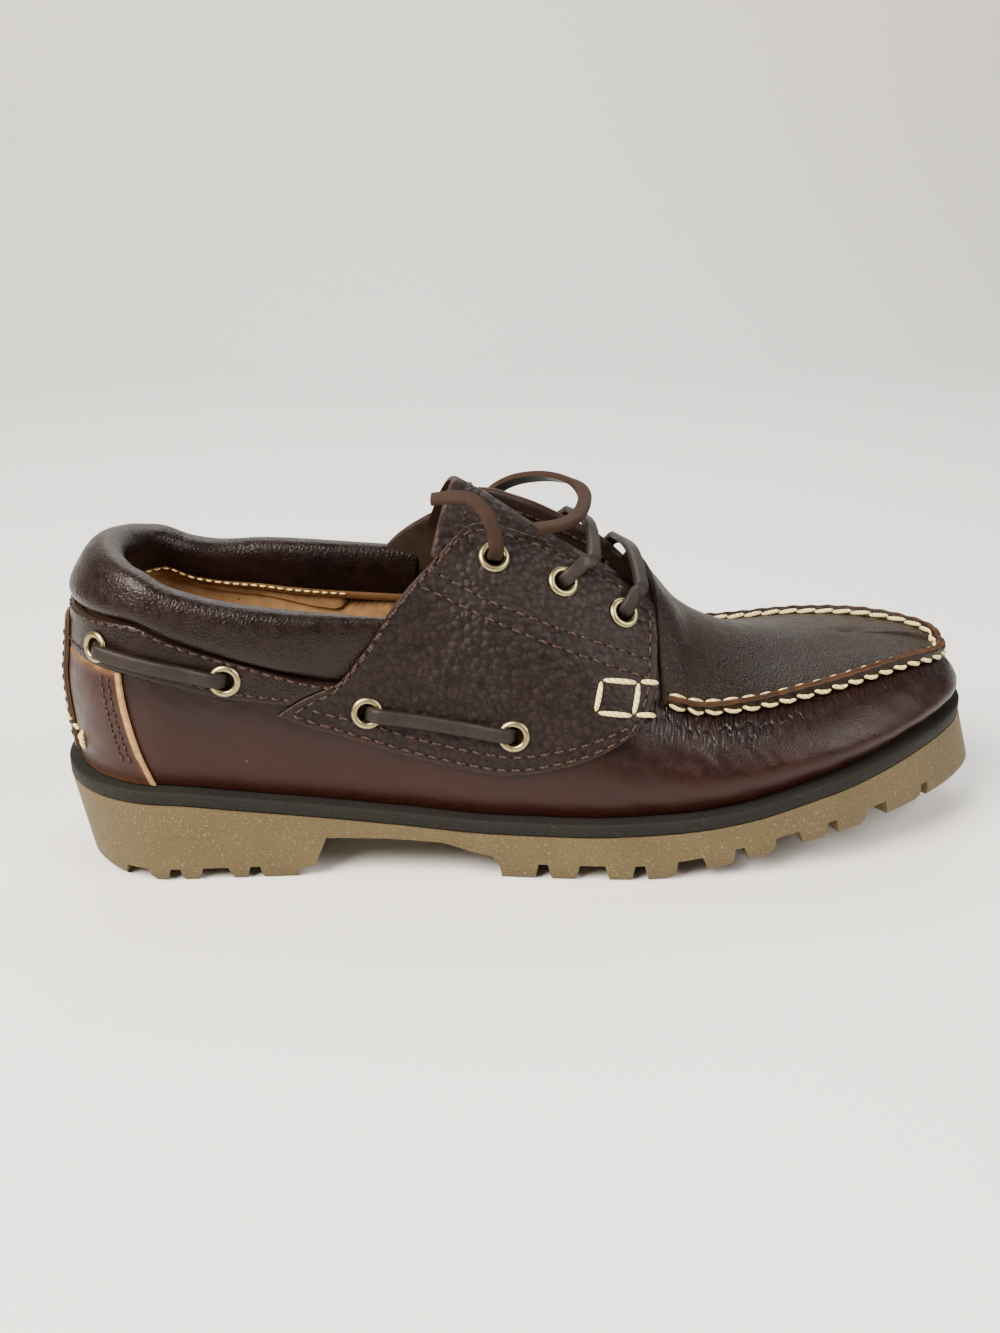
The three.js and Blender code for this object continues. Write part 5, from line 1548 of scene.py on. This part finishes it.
for number, word in ((1, "middle"), (2, "front")):
    along, bow = facing_eyelets["along"][number], facing_eyelets["bow"][number]
    middle = []
    for side in (LATERAL, MEDIAL):
        steps_up = [seat(along + bow * share, row, side, lace_height + more)
                    for share, row, more in ((0.5, 2.86, 0.3), (0.8, 2.97, 1.0))]
        middle += steps_up if side < 0 else steps_up[::-1]
    crown = [seat(along + bow, 2.97, side, lace_height + 1)[0] for side in (LATERAL, MEDIAL)]
    middle.insert(2, ((crown[0] + crown[1]) / 2 + (0, 0, 4.5), np.array([0.45, 0, 1])))
    lace_between(f"lace_bar_{word}_strip", f"lace_bar_{word}", eyelet_places[number],
                 eyelet_places[7 + number], middle, 90)
print("laces laid")

# %% [markdown]
# ## Stitches
# Machine stitches are short threads that sink into the leather at both ends. The moccasin seam is
# sewn by hand with thick waxed thread: long slanting stitches outside and inside the lip.


# %% Stitch helpers
def stitches(name, line, height, spacing, long, radius, material, slant=0.0, holes=True):
    """Stitches along a line of angles and rows, at a height over the skin, with a dark dent of painted shade
    for the hole between two.
    """
    base = skin(line[:, 0], line[:, 1])
    run = run_of(base, 0)
    many = max(1, int(run[-1] / spacing))
    middles = (np.arange(many) + 0.5) * run[-1] / many
    share = np.linspace(-0.5, 0.5, 7)
    at = np.clip(middles[:, None] + share * long, 0, run[-1])
    angle, row = (np.interp(at, run, line[:, k]) for k in (0, 1))
    point, normal = skin(angle, row), skin_normal(angle, row)
    along_line = unit(np.gradient(point, axis=1))
    aside = np.cross(normal, along_line)
    dip = 0.3
    rise = height + (0.5 * radius + dip) * np.cos(np.pi * share * 0.98)[None, :] - dip
    paths = point + normal * rise[..., None] + aside * (share * 2 * slant)[None, :, None]
    if holes:
        between = middles[:-1, None] + spacing / 2 + share[1:-1] * (spacing - long + 0.9)
        angle, row = (np.interp(np.clip(between, 0, run[-1]), run, line[:, k]) for k in (0, 1))
        # each hole is a flat dark tube: painted shade
        tubes(name + "_hole_shade", over_skin(angle, row, height - 0.02), skin_normal(angle, row), radius * 1.15,
              needle_hole_shade, flat=0.35)
    return tubes(name, paths, normal, radius, material, flat=0.85)


def inset(net, edge, distance, trim=0.0):
    """A line of angles and rows inside a patch, this far from one of its borders."""
    angle, row = net
    if edge in ("left", "right"):
        angle, row = angle.T, row.T
    if edge in ("right", "top"):
        angle, row = angle[::-1], row[::-1]
    run = run_of(skin(angle, row), 0)
    line = np.stack([[np.interp(distance, run[:, k], values[:, k]) for k in range(angle.shape[1])]
                     for values in (angle, row)], -1)
    walked = run_of(skin(line[:, 0], line[:, 1]), 0)
    return line[(walked >= trim) & (walked <= walked[-1] - trim)]


# %% Rows on the saddle
saddle_stitch, saddle_long, saddle_thread = 4.2, 3.3, 0.44
for side, word in ((LATERAL, "near"), (MEDIAL, "far")):
    net = saddle_nets[side]
    rows = {
        "facing": inset(net, "top", 3.0, 2.0), "rear": inset(net, "left", 3.0, 2.0),
        "foot_outer": inset(net, "bottom", 2.2, 2.0), "foot_inner": inset(net, "bottom", 6.6, 5.0),
        "front": inset(net, "right", 3.0, 2.0),
    }
    for place, line in rows.items():
        stitches(f"saddle_{place}_thread_{word}", line, panel_high, saddle_stitch, saddle_long,
                 saddle_thread, dark_thread)
print("rows along the saddle's border:", 2 * len(rows))

# %% Double row across the saddle
across_upper = [(-35.5, 97.1), (-19, 88.5), (-1, 80.7), (17.5, 73), (34, 66)]
across_lower = [(-38, 92.5), (-20.5, 84.2), (-3, 76.4), (15.5, 68.8), (34, 61)]
for side, word in ((LATERAL, "near"), (MEDIAL, "far")):
    for place, points in (("upper", across_upper), ("lower", across_lower)):
        stitches(f"saddle_{place}_thread_{word}", drawn(points, side, 60), panel_high, saddle_stitch,
                 saddle_long, saddle_thread, dark_thread)

# %% Rows on band and counter
for place, edge, distance in (("foot", "bottom", 2.8), ("head", "top", 1.6)):
    stitches(f"band_{place}_thread", inset(band_net, edge, distance, 1.0), panel_high, 3.7, 2.9, 0.4,
             dark_thread)
for edge in ("left", "right"):
    for distance in (4.0, 6.6):
        line = inset(counter_net, edge, distance, 1.0)
        stitches(f"counter_{edge}_thread_{int(distance)}", line[line[:, 1] > 0.25], panel_high, 3.4, 2.6,
                 0.38, dark_thread)


# %% Hand stitches along the moccasin seam
def lip_stitches(name, distance, height, slant, lean, out):
    """Slanting stitches on a face of the lip: distance from the seam, height, how far they stand out."""
    seam_end = float(angle_at(0.634, LATERAL))
    fine = np.linspace(seam_end, 2 * np.pi - seam_end, 900)
    table_rows = np.linspace(2, 2.8, 60)
    runs = run_of(skin(fine[None], table_rows[:, None]), 0)
    row = np.array([np.interp(distance, column, table_rows) for column in runs.T])
    base, normal = skin(fine, row), skin_normal(fine, row)
    away = -unit(skin(fine, row + 0.02) - base)
    run = run_of(base, 0)
    many = int(run[-1] / seam_stitch)
    share = np.linspace(-0.5, 0.5, 9)
    middles = (np.arange(many) + 0.5) * run[-1] / many
    at = np.clip(middles[:, None] + share * (seam_stitch * 1.08), 0, run[-1])

    def along_seam(values):
        return np.stack([np.interp(at, run, column) for column in values.T], -1)

    point, up, side_way = along_seam(base), along_seam(normal), along_seam(away)
    bow = out * np.cos(np.pi * share * 0.94) - 0.3
    path = point + up * (height + slant * 2 * share)[None, :, None] + side_way * (lean * bow)[None, :, None]
    return tubes(name, path, side_way * lean, 0.78, cream_thread, sides=9, flat=0.8)


lip_stitches("seam_thread_outside", 0.0, gap + 1.5, -0.85, 1.0, 1.1)
lip_stitches("seam_thread_inside", 2.75, gap + 2.5, -0.45, -1.0, 0.8)
print("moccasin seam sewn")


# %% Box stitch at the corner of the saddle
def hand_stitch(name, corners, side, height, radius):
    """Single thick stitches from corner to corner, given in mm of the side view."""
    paths, facing = [], []
    for (x0, z0), (x1, z1) in corners:
        share = np.linspace(0, 1, 9)
        line = np.stack([x0 + (x1 - x0) * share, z0 + (z1 - z0) * share], -1)
        angle, row = place_at(line[:, 0], line[:, 1], side)
        rise = height + 0.75 * np.sin(np.pi * share) ** 0.5 - 0.35
        paths.append(over_skin(angle, row, rise))
        facing.append(skin_normal(angle, row))
    return tubes(name, paths, np.array(facing), radius, cream_thread, sides=9, flat=0.8)


box = [((17.2, 63.6), (28.2, 61.3)), ((28.6, 61.2), (26.4, 53.2)), ((15.4, 54.9), (26.0, 53.0)),
       ((16.8, 63.4), (14.8, 55.2)), ((29.4, 61.4), (35.2, 60.2)), ((27.2, 53.0), (33.6, 52.0))]
for side, word in ((LATERAL, "near"), (MEDIAL, "far")):
    hand_stitch(f"corner_thread_{word}", box, side, panel_high, 0.86)
print("single stitches in a corner:", len(box))


# %% Rows on the lining and the tongue
def thread_row(name, line, outward, spacing, long, radius, material):
    """Stitches along any line of points; outward is the direction away from the leather."""
    run = run_of(line, 0)
    middles = np.arange(spacing, run[-1] - spacing, spacing)
    at = middles[:, None] + np.linspace(-0.5, 0.5, 7) * long
    point, up = (np.stack([np.interp(at, run, column) for column in v.T], -1) for v in (line, outward))
    bow = radius * (np.cos(np.pi * np.linspace(-0.5, 0.5, 7)) - 0.35)
    return tubes(name, point + up * bow[None, :, None], up, radius, material)


inner_way = unit(-half_out)
thread_row("lining_band_thread", collar_net[8:-8, 34], inner_way[8:-8], 3.0, 2.2, 0.34, cream_thread)
for side in (LATERAL, MEDIAL):
    seam_rows, seam_angle = np.linspace(2.1, 2.97, 40), np.full(40, float(angle_at(0.176, side)))
    thread_row("lining_seam_thread_" + ("near" if side < 0 else "far"),
               over_skin(seam_angle, seam_rows, -2.2 - lining_tuck * tuck(seam_rows)),
               -skin_normal(seam_angle, seam_rows), 2.6, 1.9, 0.3, tan_thread)
facing_line = np.linspace(float(angle_at(0.455, MEDIAL)), float(angle_at(0.6, MEDIAL)), 60)
thread_row("facing_inner_thread", over_skin(facing_line, np.full(60, 2.86), np.full(60, -2.15)),
           -skin_normal(facing_line, np.full(60, 2.86)), 3.6, 2.8, 0.36, dark_thread)
for place in (4, 7):
    row, way = tongue_top[-place - 3, 6:-6], out[-place - 3]
    thread_row(f"tongue_thread_{place}", row + way * 0.1, np.broadcast_to(way, row.shape), 2.4, 1.5, 0.3,
               dark_thread)
print("rows inside the shoe and on the tongue sewn")

# %% Stitches at the heel
for edge in ("left", "right"):
    stitches(f"heel_strip_{edge}_thread", inset(strip_net, edge, 1.8, 3.0), strip_high, 3.6, 2.8, 0.38,
             dark_thread)
stitches("heel_strip_foot_thread", inset(strip_net, "bottom", 2.4, 1.0), strip_high, 5.2, 4.6, 0.62,
         cream_thread, slant=0.5, holes=False)
# one long whip stitch after another slants down from the strip to its bottom corners
whip_paths, whip_up = [], []
for side in (LATERAL, MEDIAL):
    for k in range(5):
        share = (k + np.linspace(0.02, 0.98, 9)) / 5
        turn_to, rows = -side * (0.02 + 0.24 * share), 0.74 - 0.42 * share + 0.07 * (5 * share - k - 0.5)
        over_strip = 1 - smooth((share - 0.55) / 0.15)
        bow = 0.7 * np.sin(np.pi * np.linspace(0, 1, 9)) ** 0.5 - 0.3
        whip_paths.append(over_skin(turn_to, rows, panel_high + 1.6 * over_strip + bow))
        whip_up.append(skin_normal(turn_to, rows))
tubes("heel_whip_thread", whip_paths, np.array(whip_up), 0.68, cream_thread, sides=9)
# and each row ends in one upright stitch
share = np.linspace(0, 1, 9)
rows, bow = 0.24 + 0.24 * share, 0.9 * np.sin(np.pi * share) ** 0.5 - 0.3
ends = [np.full(9, -side * 0.27) for side in (LATERAL, MEDIAL)]
tubes("heel_corner_thread", [over_skin(angle, rows, panel_high + bow) for angle in ends],
      np.array([skin_normal(angle, rows) for angle in ends]), 0.95, cream_thread, sides=9)

# %% [markdown]
# ## Table and light
# The shoe stands on a plain pale table that curves up behind it. A large soft light from the upper
# left and a weaker one from the right give the sheen along the leather; the world fills the shadows.

# %% Table
reach, bend_at, bend_radius = 3.0, 0.9, 0.5
arc = np.linspace(0, np.pi / 2, 16)
rise_line = [(-reach, 0.0), *zip(bend_at + bend_radius * np.sin(arc), bend_radius * (1 - np.cos(arc))),
             (bend_at + bend_radius, reach)]
table_points = [(x * 1000, y * 1000, z * 1000) for y, z in rise_line for x in (-reach, reach)]
table_top = piece("table", table_points, net_faces(len(rise_line), 2), [])
paint, tree = new_material("matt_white_laminate")
shader = add(tree, "ShaderNodeBsdfPrincipled", {
    "Base Color": from_hex("#F1F0EE"), "Roughness": 0.5, "IOR": 1.45,
})
add(tree, "ShaderNodeOutputMaterial", {"Surface": shader.outputs[0]})
table_top.data.materials.append(paint)
print("table curves up", bend_at, "m behind the shoe")


# %% Lights
def soft_light(name, place, size, power, tint):
    data = bpy.data.lights.new(name, "AREA")
    data.energy, data.size, data.color = power, size, from_hex(tint)[:3]
    made = bpy.data.objects.new(name, data)
    bpy.context.scene.collection.objects.link(made)
    towards = (Vector(place) - Vector((0, 0, 0.05))).to_track_quat("Z", "Y")
    made.matrix_world = Matrix.Translation(Vector(place)) @ towards.to_matrix().to_4x4()
    return made


soft_light("window", (-0.75, -0.6, 1.0), 0.8, 58, "#FFF6EA")
soft_light("room", (0.9, -0.6, 0.8), 0.7, 17, "#FFF8F0")
soft_light("back", (0.1, 0.7, 1.0), 0.8, 9, "#FFFFFF")
world = bpy.data.worlds.new("room_fill")
bpy.context.scene.world = world
world.use_nodes = True
backdrop = world.node_tree.nodes["Background"]
backdrop.inputs["Color"].default_value = from_hex("#F0EEEA")
backdrop.inputs["Strength"].default_value = 0.16
print("lights:", len(bpy.data.lights))
